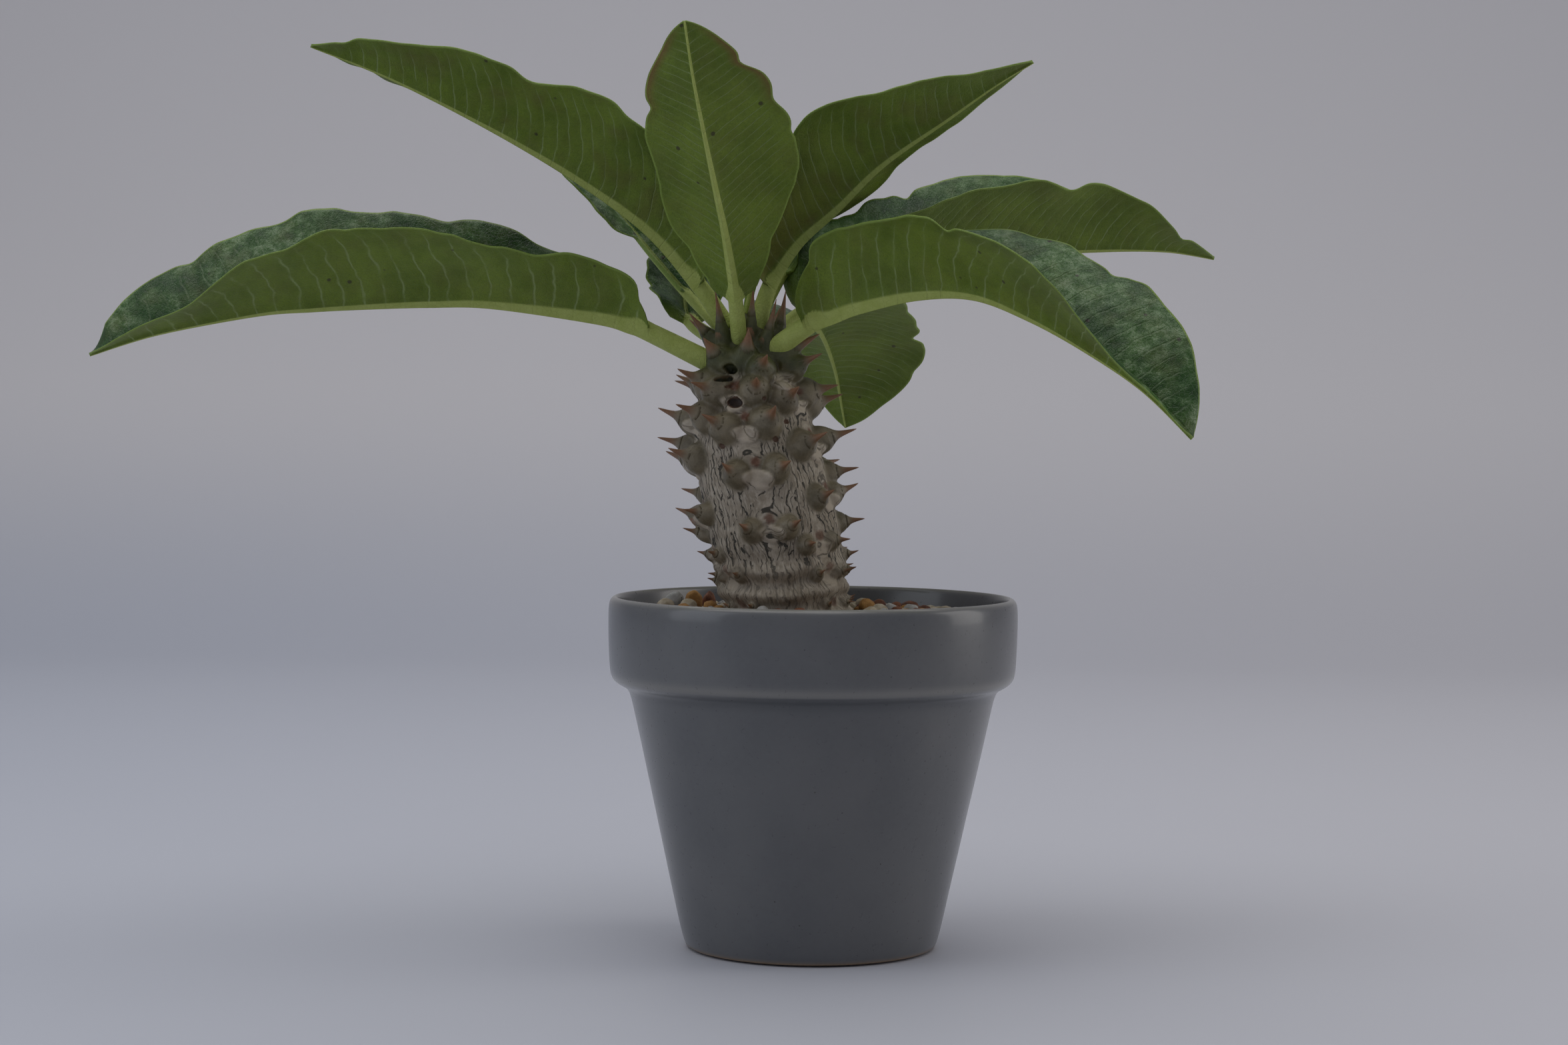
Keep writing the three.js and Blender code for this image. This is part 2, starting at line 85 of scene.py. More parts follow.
# Leaves, as in the CAD part: each row is the midrib's point, then the half width and the lift
# in degrees of the half nearer the front, and of the other half.
LEAF_ROWS = {
    "leaf_left_low": [
        (-24.5, -4, 156),
        (-44, -6.3, 165.4),
        (-49, -6.7, 167.3, 11, 64, 10, 55),
        (-58, -7, 169.6, 16, 56, 15, 52),
        (-86, -8, 173, 24, 38, 24, 59),
        (-103, -9, 172.9, 28, 43, 27, 61),
        (-120, -10, 172, 28, 43, 28, 62),
        (-133.5, -11, 171, 27, 38, 30, 63),
        (-148, -12, 169.5, 23, 28, 27, 58),
        (-174, -13, 164, 11, 10, 17, 55),
        (-192, -14, 158),
    ],
    "leaf_left_high": [
        (-23, -2, 166.5),
        (-31, -3, 178),
        (-44, -5, 192.5, 18, 50, 18, 45),
        (-63, -8, 206, 27, 46, 27, 38),
        (-86, -11, 219, 24, 43, 24, 25),
        (-112, -14, 231.5, 14, 36, 14, 0),
        (-133, -16, 239.5),
    ],
    "leaf_front": [
        (-20, -3.5, 161),
        (-21.2, -14, 174),
        (-22.8, -21, 185, 13.5, 30, 14, 30),
        (-24.1, -26, 192.5, 17.5, 30, 20, 27),
        (-25.7, -31, 200, 18, 29, 24, 22),
        (-28.8, -40, 215, 18, 30, 22, 14),
        (-31.5, -47, 229, 13, 25, 16, 10),
        (-33.4, -52, 242),
    ],
    "leaf_right_high": [
        (-16, -2, 166),
        (-12.7, -3, 177.5),
        (-5.5, -5, 189, 12.5, 42, 12, 9),
        (5, -8, 198.5, 22, 45, 23, 5),
        (17, -12, 210, 24.5, 45, 24, 3),
        (33, -16, 221, 17.5, 35, 18, 3),
        (46, -19, 230, 8.5, 20, 9, 3),
        (56, -21, 236),
    ],
    "leaf_right_near": [
        (-12.5, -5.5, 160),
        (-2, -11.4, 167.5),
        (4.5, -14.5, 170.1, 19, 72, 15, 45),
        (11.5, -18, 172.5, 21, 68, 20, 46),
        (26.5, -26, 175.5, 23.5, 56, 25, 42),
        (41, -34, 175, 27.5, 38, 28, 37),
        (55, -42, 169, 30, 34, 27, 40),
        (69, -50, 160.5, 22, 26, 25, 46),
        (82.5, -57, 150.5, 9, 14, 17, 52),
        (94, -62, 138.5),
    ],
    "leaf_right_far": [
        (-13, 2.5, 163),
        (-3, 9, 171.5),
        (14, 17, 180, 16, 52, 20, 68),
        (36, 25, 185.5, 24, 48, 26, 56),
        (58.5, 32, 189, 26, 44, 26, 58),
        (81.5, 38, 190.5, 20, 50, 20, 50),
        (99, 43, 190.5, 10, 28, 10, 30),
        (112.5, 46, 188.5),
    ],
    "leaf_back_right": [
        (-14.5, 6, 159),
        (-5, 27, 167),
        (-1, 45, 169, 24, 14, 18, 22),
        (2.5, 65, 165.5, 26.5, 10, 20, 18),
        (6, 83, 156.5, 26, 5, 15, 14),
        (8, 94, 147, 14, 0, 7, 8),
        (9.5, 99, 139.5),
    ],
    "leaf_back_left": [
        (-23.5, 3, 164.5),
        (-34, 12, 175),
        (-43.5, 18, 185.5, 0, 20, 12, 45),
        (-48.3, 21.7, 191.2, 0, 6, 17, 44),
        (-52.5, 25, 196, 10, 2, 20, 42),
        (-64, 32, 209, 14, 8, 19, 36),
        (-73, 38, 220, 9, 12, 11, 25),
        (-80, 42, 227),
    ],
    "leaf_back": [
        (-20.5, 6, 160.5),
        (-34, 20, 168.5),
        (-37, 34, 177, 13, 36, 13, 30),
        (-41, 50, 186, 13, 66, 18, 28),
        (-45, 66, 193, 14, 58, 18, 26),
        (-49, 82, 197, 12, 40, 13, 20),
        (-53, 96, 197),
    ],
    "leaf_back_high": [
        (-17.2, 3.5, 166.5),
        (-10, 16, 181),
        (-3, 26, 192, 11, 35, 11, 35),
        (5, 36, 203, 20.5, 17, 17, 30),
        (13, 45, 213, 14, 25, 14, 25),
        (20, 52, 221, 7, 20, 7, 20),
        (26, 57, 227),
    ],
    "young_leaf_front": [
        (-18.6, -1, 170.5),
        (-17.5, -2.5, 176, 1.2, 50, 1.2, 50),
        (-17, -3, 182, 1.8, 50, 1.8, 50),
        (-17.2, -3, 187),
    ],
    "young_leaf_back": [
        (-20.6, 1, 170.5),
        (-21.5, 3, 177, 1.5, 50, 1.5, 50),
        (-22, 5, 184, 2.2, 50, 2.2, 50),
        (-23, 6, 190),
    ],
}
UPRIGHT_LEAVES = ("leaf_front", "young_leaf_front", "young_leaf_back")
STALK_RADIUS = 2.3
YOUNG_STALK_RADIUS = 0.9
# leaves whose stalk is thicker or thinner than the usual one
STALK_SHARES = {
    "leaf_left_low": 1.25, "leaf_right_near": 1.25, "leaf_left_high": 1.05, "leaf_back_left": 0.65,
}
RIB_TIP_RADIUS = 0.45
# how far along the midrib a blade takes to round out to its full width
BASE_LENGTH = {
    "leaf_right_near": 17, "leaf_left_low": 13, "leaf_front": 22,
    "young_leaf_front": 4, "young_leaf_back": 4,
}
USUAL_BASE_LENGTH = 11
# share of painted whitish sheen, a painted reflection, on a leaf's upper side
PAINTED_SHEEN = {"leaf_back_left": 0.8, "leaf_right_near": 0.5, "leaf_left_low": 0.55}
USUAL_PAINTED_SHEEN = 0.35

# Dents in a leaf's margin: half (0 the first in its rows, 1 the other), place along the blade
# from 0 to 1, depth, half length
MARGIN_DENTS = {
    "leaf_left_low": [
        (0, 0.215, 3.2, 5), (0, 0.29, 1.2, 3), (1, 0.36, 1.6, 4), (1, 0.66, 1.8, 5), (1, 0.8, 1.2, 3),
    ],
    "leaf_left_high": [(0, 0.545, 3.4, 4.5), (0, 0.5, 2, 9), (0, 0.93, 0.8, 2)],
    "leaf_front": [(1, 0.83, 2.6, 2.4), (1, 0.68, 1.6, 3), (0, 0.7, 1.4, 2), (1, 0.55, 0.9, 2)],
    "leaf_right_high": [(1, 0.35, 2.5, 3), (1, 0.52, 1.6, 3), (0, 0.6, 0.8, 4)],
    "leaf_right_near": [(0, 0.4, 3.4, 2.2), (1, 0.45, 1.5, 4), (1, 0.62, 2, 3), (0, 0.7, 1.4, 5)],
    "leaf_right_far": [(0, 0.62, 2.2, 3.5), (0, 0.9, 1.6, 2), (1, 0.2, 2.4, 3), (1, 0.33, 1.4, 2)],
    "leaf_back_right": [(0, 0.58, 2.4, 2), (0, 0.75, 1, 3), (1, 0.4, 1.2, 4)],
    "leaf_back_left": [(0, 0.3, 1.6, 2), (0, 0.5, 1.4, 3)],
    "leaf_back": [(0, 0.12, 2, 1.6), (0, 0.26, 1.6, 1.6), (0, 0.45, 1.5, 2), (1, 0.5, 1.5, 4)],
    "leaf_back_high": [(0, 0.4, 1.2, 3), (1, 0.6, 1.4, 3)],
}
VEIN_SPACING = {
    "leaf_left_low": 5.6, "leaf_left_high": 3.7, "leaf_front": 2.6, "leaf_back_high": 2.8,
    "leaf_back_left": 2.9, "leaf_right_near": 4.3, "leaf_back_right": 3,
}
USUAL_VEIN_SPACING = 3.4
# how much the side veins lean towards the tip, and how much more near the margin
VEIN_LEAN = {"leaf_left_low": (0.02, 0.008), "leaf_right_near": (0.12, 0.009)}
USUAL_VEIN_LEAN = (0.3, 0.011)
# share of olive patches in a leaf's colour
WARM_LEAVES = ("leaf_right_high", "leaf_left_high")
WARM_SHARE = 0.55
USUAL_WARM_SHARE = 0.25
# distance between two rings of a leaf's mesh, and points from midrib to margin
LEAF_STEP = 0.85
YOUNG_LEAF_STEP = 0.45
LEAF_COLUMNS = 32
YOUNG_LEAF_COLUMNS = 10
ROW_SAMPLES = 2000
HALF_THICKNESS = 0.26
# how much a half turns over from midrib to margin
CURL = math.radians(26)
QUILT_DEPTH = 0.13
BUCKLE_DEPTH = 0.35
WAVE_HEIGHT = 0.8
FINE_WAVE_HEIGHT = 0.35
# share of a ripple that a young leaf has
YOUNG_RIPPLE = 0.1
LEAF_FIELDS = ("along", "across", "edge", "rib", "top", "tinge")


def smooth_rows(rows, at):
    """Catmull-Rom values of evenly numbered rows at the row numbers in at."""
    rows = np.asarray(rows, float)
    last = len(rows) - 1
    index = np.clip(np.floor(at).astype(int), 0, last - 1)
    part = (at - index)[:, None]
    before = rows[np.clip(index - 1, 0, last)]
    start = rows[index]
    end = rows[index + 1]
    after = rows[np.clip(index + 2, 0, last)]
    slope_start = (end - before) / 2
    slope_end = (after - start) / 2
    cube = part ** 3
    square = part ** 2
    return (
        (2 * cube - 3 * square + 1) * start + (cube - 2 * square + part) * slope_start
        + (3 * square - 2 * cube) * end + (cube - square) * slope_end
    )


def smoothstep(low, high, value):
    """Rises smoothly from 0 at low to 1 at high, or falls where high is under low."""
    part = np.clip((value - low) / (high - low), 0, 1)
    return part * part * (3 - 2 * part)


def hashed(*numbers):
    """A repeatable value from 0 to 1 for each set of whole numbers."""
    mixed = np.zeros(np.broadcast(*numbers).shape, np.uint64)
    for number, factor in zip(numbers, (374761393, 668265263, 2246822519, 3266489917)):
        mixed = mixed + (np.asarray(number).astype(np.int64) + 100000).astype(np.uint64) * np.uint64(factor)
    mixed = mixed & np.uint64(0xFFFFFFFF)
    mixed = ((mixed ^ (mixed >> np.uint64(15))) * np.uint64(2246822519)) & np.uint64(0xFFFFFFFF)
    mixed = ((mixed ^ (mixed >> np.uint64(13))) * np.uint64(3266489917)) & np.uint64(0xFFFFFFFF)
    return ((mixed ^ (mixed >> np.uint64(16))) & np.uint64(0xFFFFFF)) / float(0xFFFFFF)


def noise(points, size, seed):
    """Smooth noise from -1 to 1 with bumps about size across, at points of one to three numbers."""
    points = np.atleast_2d(np.asarray(points, float)) / size
    cell = np.floor(points).astype(int)
    part = points - cell
    part = part * part * (3 - 2 * part)
    count = points.shape[1]
    total = np.zeros(len(points))
    for corner in range(2 ** count):
        steps = [(corner >> axis) & 1 for axis in range(count)]
        weight = np.ones(len(points))
        for axis, step in enumerate(steps):
            weight = weight * (part[:, axis] if step else 1 - part[:, axis])
        places = [cell[:, axis] + step for axis, step in enumerate(steps)]
        total += weight * hashed(*places, np.full(len(points), seed))
    return 2 * total - 1


def make_piece(name, points, faces, material, nodes, attributes=None):
    """A smooth mesh piece from points in millimetres, which rides on the body and replaces CAD nodes."""
    mesh = bpy.data.meshes.new(name)
    mesh.from_pydata((np.asarray(points) * MM).tolist(), [], [list(face) for face in faces])
    for key, values in (attributes or {}).items():
        layer = mesh.attributes.new(key, "FLOAT", "POINT")
        layer.data.foreach_set("value", np.asarray(values, np.float32))
    mesh.polygons.foreach_set("use_smooth", [True] * len(mesh.polygons))
    mesh.materials.append(material)
    mesh.update()
    piece = bpy.data.objects.new(name, mesh)
    bpy.context.scene.collection.objects.link(piece)
    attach(piece, "root")
    if nodes:
        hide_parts(*nodes)
    return piece


def ring_faces(rings, count, first=0):
    """Faces of a skin over rings of count points each, closed round and open at both ends."""
    ring = np.arange(rings - 1)[:, None] * count + first
    side = np.arange(count)[None, :]
    after = (side + 1) % count
    quads = np.stack([ring + side, ring + after, ring + count + after, ring + count + side], -1)
    return quads.reshape(-1, 4).tolist()


class Shader:
    """A material and short ways to add its nodes and link them."""

    def __init__(self, name):
        self.material = bpy.data.materials.new(name)
        self.material.use_nodes = True
        self.tree = self.material.node_tree
        self.main = self.tree.nodes["Principled BSDF"]

    def add(self, kind, **settings):
        node = self.tree.nodes.new(kind)
        for key, value in settings.items():
            setattr(node, key, value)
        return node

    def put(self, socket, value):
        if isinstance(value, bpy.types.NodeSocket):
            self.tree.links.new(value, socket)
        elif isinstance(value, tuple) and len(value) == 3 and socket.type == "RGBA":
            socket.default_value = (*value, 1)
        else:
            socket.default_value = value

    def math(self, operation, *values):
        node = self.add("ShaderNodeMath", operation=operation)
        for socket, value in zip(node.inputs, values):
            self.put(socket, value)
        return node.outputs[0]

    def times(self, first, second):
        return self.math("MULTIPLY", first, second)

    def plus(self, first, second):
        return self.math("ADD", first, second)

    def less(self, first, second):
        return self.math("SUBTRACT", first, second)

    def step(self, low, high, value):
        """Rises smoothly from 0 at low to 1 at high, or falls where high is under low."""
        node = self.add("ShaderNodeMapRange", interpolation_type="SMOOTHSTEP")
        for key, number in (("Value", value), ("From Min", low), ("From Max", high)):
            self.put(node.inputs[key], number)
        return node.outputs["Result"]

    def mix(self, share, first, second):
        """The first colour where share is 0, and the second where it is 1."""
        node = self.add("ShaderNodeMix", data_type="RGBA")
        self.put(node.inputs["Factor"], share)
        colours = [socket for socket in node.inputs if socket.type == "RGBA"]
        self.put(colours[0], first)
        self.put(colours[1], second)
        return [socket for socket in node.outputs if socket.type == "RGBA"][0]

    def cover(self, base, colour, share, strength):
        """A colour laid over a base where share is 1, as strongly as strength."""
        return self.mix(self.times(share, strength), base, colour)

    def attribute(self, name):
        return self.add("ShaderNodeAttribute", attribute_name=name).outputs["Fac"]

    def place(self):
        """Object coordinates in millimetres."""
        coordinates = self.add("ShaderNodeTexCoord").outputs["Object"]
        mapping = self.add("ShaderNodeMapping")
        self.put(mapping.inputs["Vector"], coordinates)
        mapping.inputs["Scale"].default_value = (1 / MM, 1 / MM, 1 / MM)
        return mapping.outputs[0]

    def noise(self, size, detail=3, rough=0.55, vector=None):
        node = self.add("ShaderNodeTexNoise")
        self.put(node.inputs["Vector"], vector or self.place())
        node.inputs["Scale"].default_value = 1 / size
        node.inputs["Detail"].default_value = detail
        node.inputs["Roughness"].default_value = rough
        return node.outputs["Fac"]

    def spots(self, size, feature="F1"):
        """Distance to the nearest of scattered points, or to their cells' edges."""
        node = self.add("ShaderNodeTexVoronoi", feature=feature)
        self.put(node.inputs["Vector"], self.place())
        node.inputs["Scale"].default_value = 1 / size
        return node.outputs["Distance"]

    def bump(self, height, depth_mm, strength):
        node = self.add("ShaderNodeBump")
        self.put(node.inputs["Height"], height)
        node.inputs["Distance"].default_value = depth_mm * MM
        node.inputs["Strength"].default_value = strength
        return node.outputs[0]

    def finish(self, colour, roughness, normal=None, **constants):
        """Links the main sockets and sets the constant ones."""
        self.put(self.main.inputs["Base Color"], colour)
        self.put(self.main.inputs["Roughness"], roughness)
        if normal:
            self.put(self.main.inputs["Normal"], normal)
        for key, value in constants.items():
            self.main.inputs[key.replace("_", " ")].default_value = value
        return self.material


# Leaf colours, and the roughness of a leaf's under and upper side
UNDER_SHADE = (0.108, 0.165, 0.012)
UNDER_GREEN = (0.185, 0.262, 0.028)
UNDER_PATCH = (0.18, 0.24, 0.045)
UNDER_SPECK = (0.05, 0.085, 0.01)
VEIN_SIDE = (0.2, 0.28, 0.065)
NET_GREEN = (0.21, 0.29, 0.085)
UNDER_VEIN = (0.3, 0.38, 0.15)
UPPER_SHADE = (0.015, 0.062, 0.008)
UPPER_GREEN = (0.058, 0.16, 0.02)
UPPER_DARK = (0.009, 0.028, 0.007)
# painted sheen: a whitish painted reflection laid on the upper side
PAINTED_SHEEN_WHITE = (0.37, 0.44, 0.3)
UPPER_VEIN = (0.13, 0.19, 0.09)
WARM_OLIVE = (0.13, 0.125, 0.03)
TINGE_BROWN = (0.2, 0.095, 0.035)
SPOT_BROWN = (0.035, 0.02, 0.018)
RIB_SHADE = (0.33, 0.4, 0.075)
RIB_GREEN = (0.48, 0.55, 0.17)
MARGIN_GREEN = (0.27, 0.38, 0.08)
UNDER_ROUGHNESS = 0.5
UPPER_ROUGHNESS = 0.24


def leaf_material(name, spacing, vein_lean, warmth, painted_sheen_share):
    """Leaf skin: dull veined underside, dark glossy upper side with painted whitish sheen, pale rib and
    stalk, thin pale margin.
    """
    shader = Shader(name)
    along = shader.attribute("along")
    across = shader.attribute("across")
    top = shader.attribute("top")
    rib = shader.step(1.02, 0.86, shader.attribute("rib"))
    edge = shader.attribute("edge")
    tinge = shader.attribute("tinge")
    away = shader.math("ABSOLUTE", across)
    wander = shader.noise(9, 2)
    cloudy = shader.noise(14, 4, 0.6)
    # side veins lean towards the tip and bend more near the margin
    lean = shader.times(away, vein_lean[0])
    bend = shader.times(shader.times(away, away), vein_lean[1])
    phase = shader.less(shader.less(along, lean), bend)
    phase = shader.plus(shader.math("DIVIDE", phase, spacing), shader.times(wander, 0.8))
    saw = shader.math("ABSOLUTE", shader.less(shader.math("FRACT", phase), 0.5))
    vein = shader.step(0.41, 0.5, saw)
    halo = shader.step(0.15, 0.5, saw)
    # veins fade out near the margin and are uneven
    fade = shader.times(shader.step(0.5, 7, edge), shader.step(0.25, 0.6, shader.noise(6, 3)))
    vein = shader.times(vein, fade)
    net = shader.step(0.12, 0.0, shader.spots(1.1, feature="DISTANCE_TO_EDGE"))
    speckle = shader.noise(0.45, 3, 0.7)
    patch = shader.noise(3.2, 4, 0.65)

    under = shader.mix(shader.step(0.3, 0.7, cloudy), UNDER_SHADE, UNDER_GREEN)
    under = shader.cover(under, UNDER_PATCH, shader.step(0.35, 0.75, patch), 0.4)
    under = shader.cover(under, UNDER_SPECK, shader.step(0.6, 0.3, speckle), 0.35)
    under = shader.cover(under, VEIN_SIDE, halo, 0.14)
    under = shader.cover(under, NET_GREEN, net, 0.1)
    under = shader.cover(under, UNDER_VEIN, vein, 0.72)
    upper = shader.mix(shader.step(0.3, 0.7, cloudy), UPPER_SHADE, UPPER_GREEN)
    upper = shader.cover(upper, UPPER_DARK, shader.step(0.62, 0.3, patch), 0.5)
    # painted whitish sheen in patches: a painted reflection on the glossy upper side
    painted_sheen = shader.times(shader.step(0.42, 0.66, patch), shader.step(0.3, 0.6, speckle))
    painted_sheen = shader.times(painted_sheen, shader.step(0.36, 0.58, cloudy))
    upper = shader.cover(upper, PAINTED_SHEEN_WHITE, painted_sheen, painted_sheen_share)
    upper = shader.cover(upper, UPPER_VEIN, vein, 0.4)
    skin = shader.mix(top, under, upper)
    warm = shader.times(shader.step(0.42, 0.75, shader.noise(8, 3)), warmth)
    skin = shader.mix(warm, skin, WARM_OLIVE)
    skin = shader.mix(tinge, skin, TINGE_BROWN)
    # small dark spots, a few to a leaf
    dark = shader.step(0.085, 0.05, shader.spots(9))
    skin = shader.cover(skin, SPOT_BROWN, dark, 0.75)
    pale = shader.mix(shader.noise(3, 3), RIB_SHADE, RIB_GREEN)
    rib = shader.times(rib, shader.less(1, shader.times(top, 0.4)))
    skin = shader.mix(rib, skin, pale)
    margin = shader.times(shader.step(0.7, 0.2, edge), 0.75)
    skin = shader.mix(margin, skin, MARGIN_GREEN)

    gloss = shader.add("ShaderNodeMapRange")
    shader.put(gloss.inputs["Value"], top)
    gloss.inputs["To Min"].default_value = UNDER_ROUGHNESS
    gloss.inputs["To Max"].default_value = UPPER_ROUGHNESS
    rough = shader.plus(gloss.outputs["Result"], shader.times(speckle, 0.14))
    height = shader.times(speckle, 0.4)
    height = shader.less(height, shader.times(vein, 0.5))
    height = shader.plus(height, shader.times(patch, 1.1))
    height = shader.less(height, shader.times(net, 0.22))
    normal = shader.bump(height, 0.4, 0.75)
    return shader.finish(skin, rough, normal, Specular_IOR_Level=0.4, IOR=1.42)


def leaf_half_width(rows, at, column, row_mm, along_mm, base_length):
    """A half's width: round where the blade leaves the stalk, pointed at the tip."""
    table = np.array([row[column] if len(row) > 3 else 0.0 for row in rows])
    first = max(index for index in range(len(rows)) if not table[: index + 1].any())
    last = len(rows) - 1
    width = smooth_rows(table[:, None], at)[:, 0]
    width = np.where(at < first + 1, table[first + 1], width)
    rising = np.clip((along_mm - row_mm[first]) / base_length, 0, 1)
    width = width * np.sqrt(1 - (1 - rising) ** 2)
    falling = np.clip(last - at, 0, 1)
    width = np.where(at > last - 1, table[last - 1] * falling ** 0.85, width)
    return np.maximum(width, 0)


def leaf_directions(name, along):
    """Directions across a leaf and out of its upper side, at each station."""
    upright = name in UPRIGHT_LEAVES
    side = np.tile([-1.0, 0, 0], (len(along), 1)) if upright else np.cross(along, [0, 0, 1.0])
    side = np.where(side[:, 1:2] > 0, -side, side)
    side = side - along * np.sum(side * along, 1)[:, None]
    side = side / np.linalg.norm(side, axis=1)[:, None]
    up = np.cross(side, along)
    axis = 1 if upright else 2
    return side, np.where(up[:, axis:axis + 1] < 0, -up, up)


class LeafLine:
    """A leaf's midrib cut into evenly spaced stations, with its directions, rib and stalk."""

    def __init__(self, name):
        self.name = name
        self.young = name.startswith("young")
        self.rows = LEAF_ROWS[name]
        rows = self.rows
        row_numbers = np.arange(len(rows))
        samples = np.linspace(0, len(rows) - 1, ROW_SAMPLES)
        middle = [row[:3] for row in rows]
        fine = smooth_rows(middle, samples)
        lengths = np.concatenate([[0], np.cumsum(np.linalg.norm(np.diff(fine, axis=0), axis=1))])
        self.length = lengths[-1]
        self.stations = int(self.length / (YOUNG_LEAF_STEP if self.young else LEAF_STEP))
        self.at = np.interp(np.linspace(0, self.length, self.stations), lengths, samples)
        self.centre = smooth_rows(middle, self.at)
        self.along_mm = np.interp(self.at, samples, lengths)
        direction = np.gradient(self.centre, axis=0)
        direction /= np.linalg.norm(direction, axis=1)[:, None]
        self.side, self.up = leaf_directions(name, direction)
        self.row_mm = np.interp(row_numbers, samples, lengths)
        blade_start = self.row_mm[max(index for index, row in enumerate(rows[:-1]) if len(row) == 3)]
        self.blade_length = self.length - blade_start
        self.blade = np.clip((self.along_mm - blade_start) / self.blade_length, 0, 1)
        base_radius = YOUNG_STALK_RADIUS if self.young else STALK_RADIUS * STALK_SHARES.get(name, 1)
        self.rib = base_radius + (RIB_TIP_RADIUS - base_radius) * (self.along_mm / self.length) ** 0.8
        self.stalk = 1 - smoothstep(0.0, 0.06, self.blade)
        self.reach = np.linspace(0, 1, YOUNG_LEAF_COLUMNS if self.young else LEAF_COLUMNS) ** 1.45
        self.spacing = VEIN_SPACING.get(name, USUAL_VEIN_SPACING)
        self.vein_lean = VEIN_LEAN.get(name, USUAL_VEIN_LEAN)


def half_outline(leaf, half, seed):
    """A half's width and lift at each station, with its dents, before the rib's own width."""
    rows = leaf.rows
    base_length = BASE_LENGTH.get(leaf.name, USUAL_BASE_LENGTH)
    width = leaf_half_width(rows, leaf.at, 3 + 2 * half, leaf.row_mm, leaf.along_mm, base_length)
    lift_rows = np.array([row[4 + 2 * half] if len(row) > 3 else np.nan for row in rows])
    known = ~np.isnan(lift_rows)
    numbers = np.arange(len(rows))
    lift_rows = np.interp(numbers, numbers[known], lift_rows[known])
    lift = np.radians(smooth_rows(lift_rows[:, None], leaf.at)[:, 0])
    for which, place, depth, size in MARGIN_DENTS.get(leaf.name, []):
        if which == half:
            gap = (leaf.blade - place) * leaf.blade_length
            width = width - depth * np.exp(-(gap / size) ** 2) * (leaf.blade > 0)
    stretch = leaf.along_mm[:, None]
    wobble = noise(stretch, 9, seed + half) * 0.035 + noise(stretch, 3.5, seed + 5 + half) * 0.012
    return width * (1 + wobble), lift


def half_push(leaf, half, away, width, flat, seed):
    """How far the blade's middle layer stands out: waves at the margin, quilting between veins, buckles."""
    reach = leaf.reach[None, :]
    lean, bend = leaf.vein_lean
    phase = (leaf.along_mm[:, None] - lean * away - bend * away ** 2) / leaf.spacing
    quilt = np.cos(TURN * phase) * smoothstep(1.5, 6, away) * smoothstep(0, 4, width[:, None] - away)
    line = np.stack([leaf.along_mm, np.full(leaf.stations, half * 50.0)], 1)
    ripple = WAVE_HEIGHT * noise(line, 13, seed + 9) + FINE_WAVE_HEIGHT * noise(line, 5, seed + 12)
    wave = ripple[:, None] * flat * reach ** 2.5
    blade_points = np.stack([np.broadcast_to(leaf.along_mm[:, None], away.shape).ravel(), away.ravel()], 1)
    buckle = noise(blade_points, 11, seed + 20).reshape(away.shape)
    push = wave - QUILT_DEPTH * quilt * flat + BUCKLE_DEPTH * buckle * smoothstep(0.1, 0.5, reach) * flat
    return push * YOUNG_RIPPLE if leaf.young else push


def leaf_half(leaf, half, seed):
    """The middle layer of one half: width, distance from the midrib, place across it and its normal."""
    width, lift = half_outline(leaf, half, seed)
    flat = np.minimum(width / 8, 1)
    width = np.maximum(width, leaf.rib * 1.02)
    lift = lift * smoothstep(0.0, 0.08, leaf.blade + 0.02) * flat
    flat = flat[:, None]
    reach = leaf.reach[None, :]
    turn = lift[:, None] + CURL * flat * (0.5 - reach)
    step = np.diff(reach)
    mean_cos = (np.cos(turn[:, 1:]) + np.cos(turn[:, :-1])) / 2
    mean_sin = (np.sin(turn[:, 1:]) + np.sin(turn[:, :-1])) / 2
    start = np.zeros((leaf.stations, 1))
    out = np.concatenate([start, np.cumsum(mean_cos * step, 1)], 1) * width[:, None]
    rise = np.concatenate([start, np.cumsum(mean_sin * step, 1)], 1) * width[:, None]
    away = reach * width[:, None]
    normal_out = -np.sin(turn) * smoothstep(0, 0.12, reach)
    normal_up = np.sqrt(1 - normal_out ** 2)
    push = half_push(leaf, half, away, width, flat, seed)
    return width, away, out + normal_out * push, rise + normal_up * push, normal_out, normal_up


def half_face(leaf, hand, face, half_data):
    """Points and fields of the upper (face 1) or the under side (face -1) of one half."""
    width, away, out, rise, normal_out, normal_up = half_data
    stalk = leaf.stalk[:, None]
    rib = leaf.rib[:, None]
    upper = face > 0
    thick = HALF_THICKNESS * (1 - 0.3 * (away / width[:, None]) ** 4)
    inside = np.clip(1 - (away / (rib * 1.1)) ** 2, 0, 1)
    if upper:
        extra = stalk * 0.75 * rib * np.sqrt(inside) - (1 - stalk) * 0.25 * rib * inside ** 2
    else:
        extra = 1.15 * rib * inside ** 0.6
    sideways = hand * (out + face * normal_out * thick)
    upward = rise + face * (normal_up * thick + extra)
    point = (
        leaf.centre[:, None, :] + leaf.side[:, None, :] * sideways[..., None]
        + leaf.up[:, None, :] * upward[..., None]
    )
    edge = width[:, None] - away
    rib_width = leaf.rib * (1 - 0.4 * leaf.blade) * (1 - (0.45 if upper else 0) * (1 - leaf.stalk))
    rib_share = away / rib_width[:, None] * (1 - 0.35 * stalk)
    rib_cover = smoothstep(1.18, 0.92, rib_share)
    fields = np.stack([
        np.broadcast_to(leaf.along_mm[:, None], away.shape), hand * away, edge + 2 * stalk, rib_share,
        np.full(away.shape, float(upper)) * (1 - stalk),
        leaf_tinge(leaf.name, leaf.blade[:, None], hand, edge) * (1 - rib_cover),
    ], -1)
    return point, fields


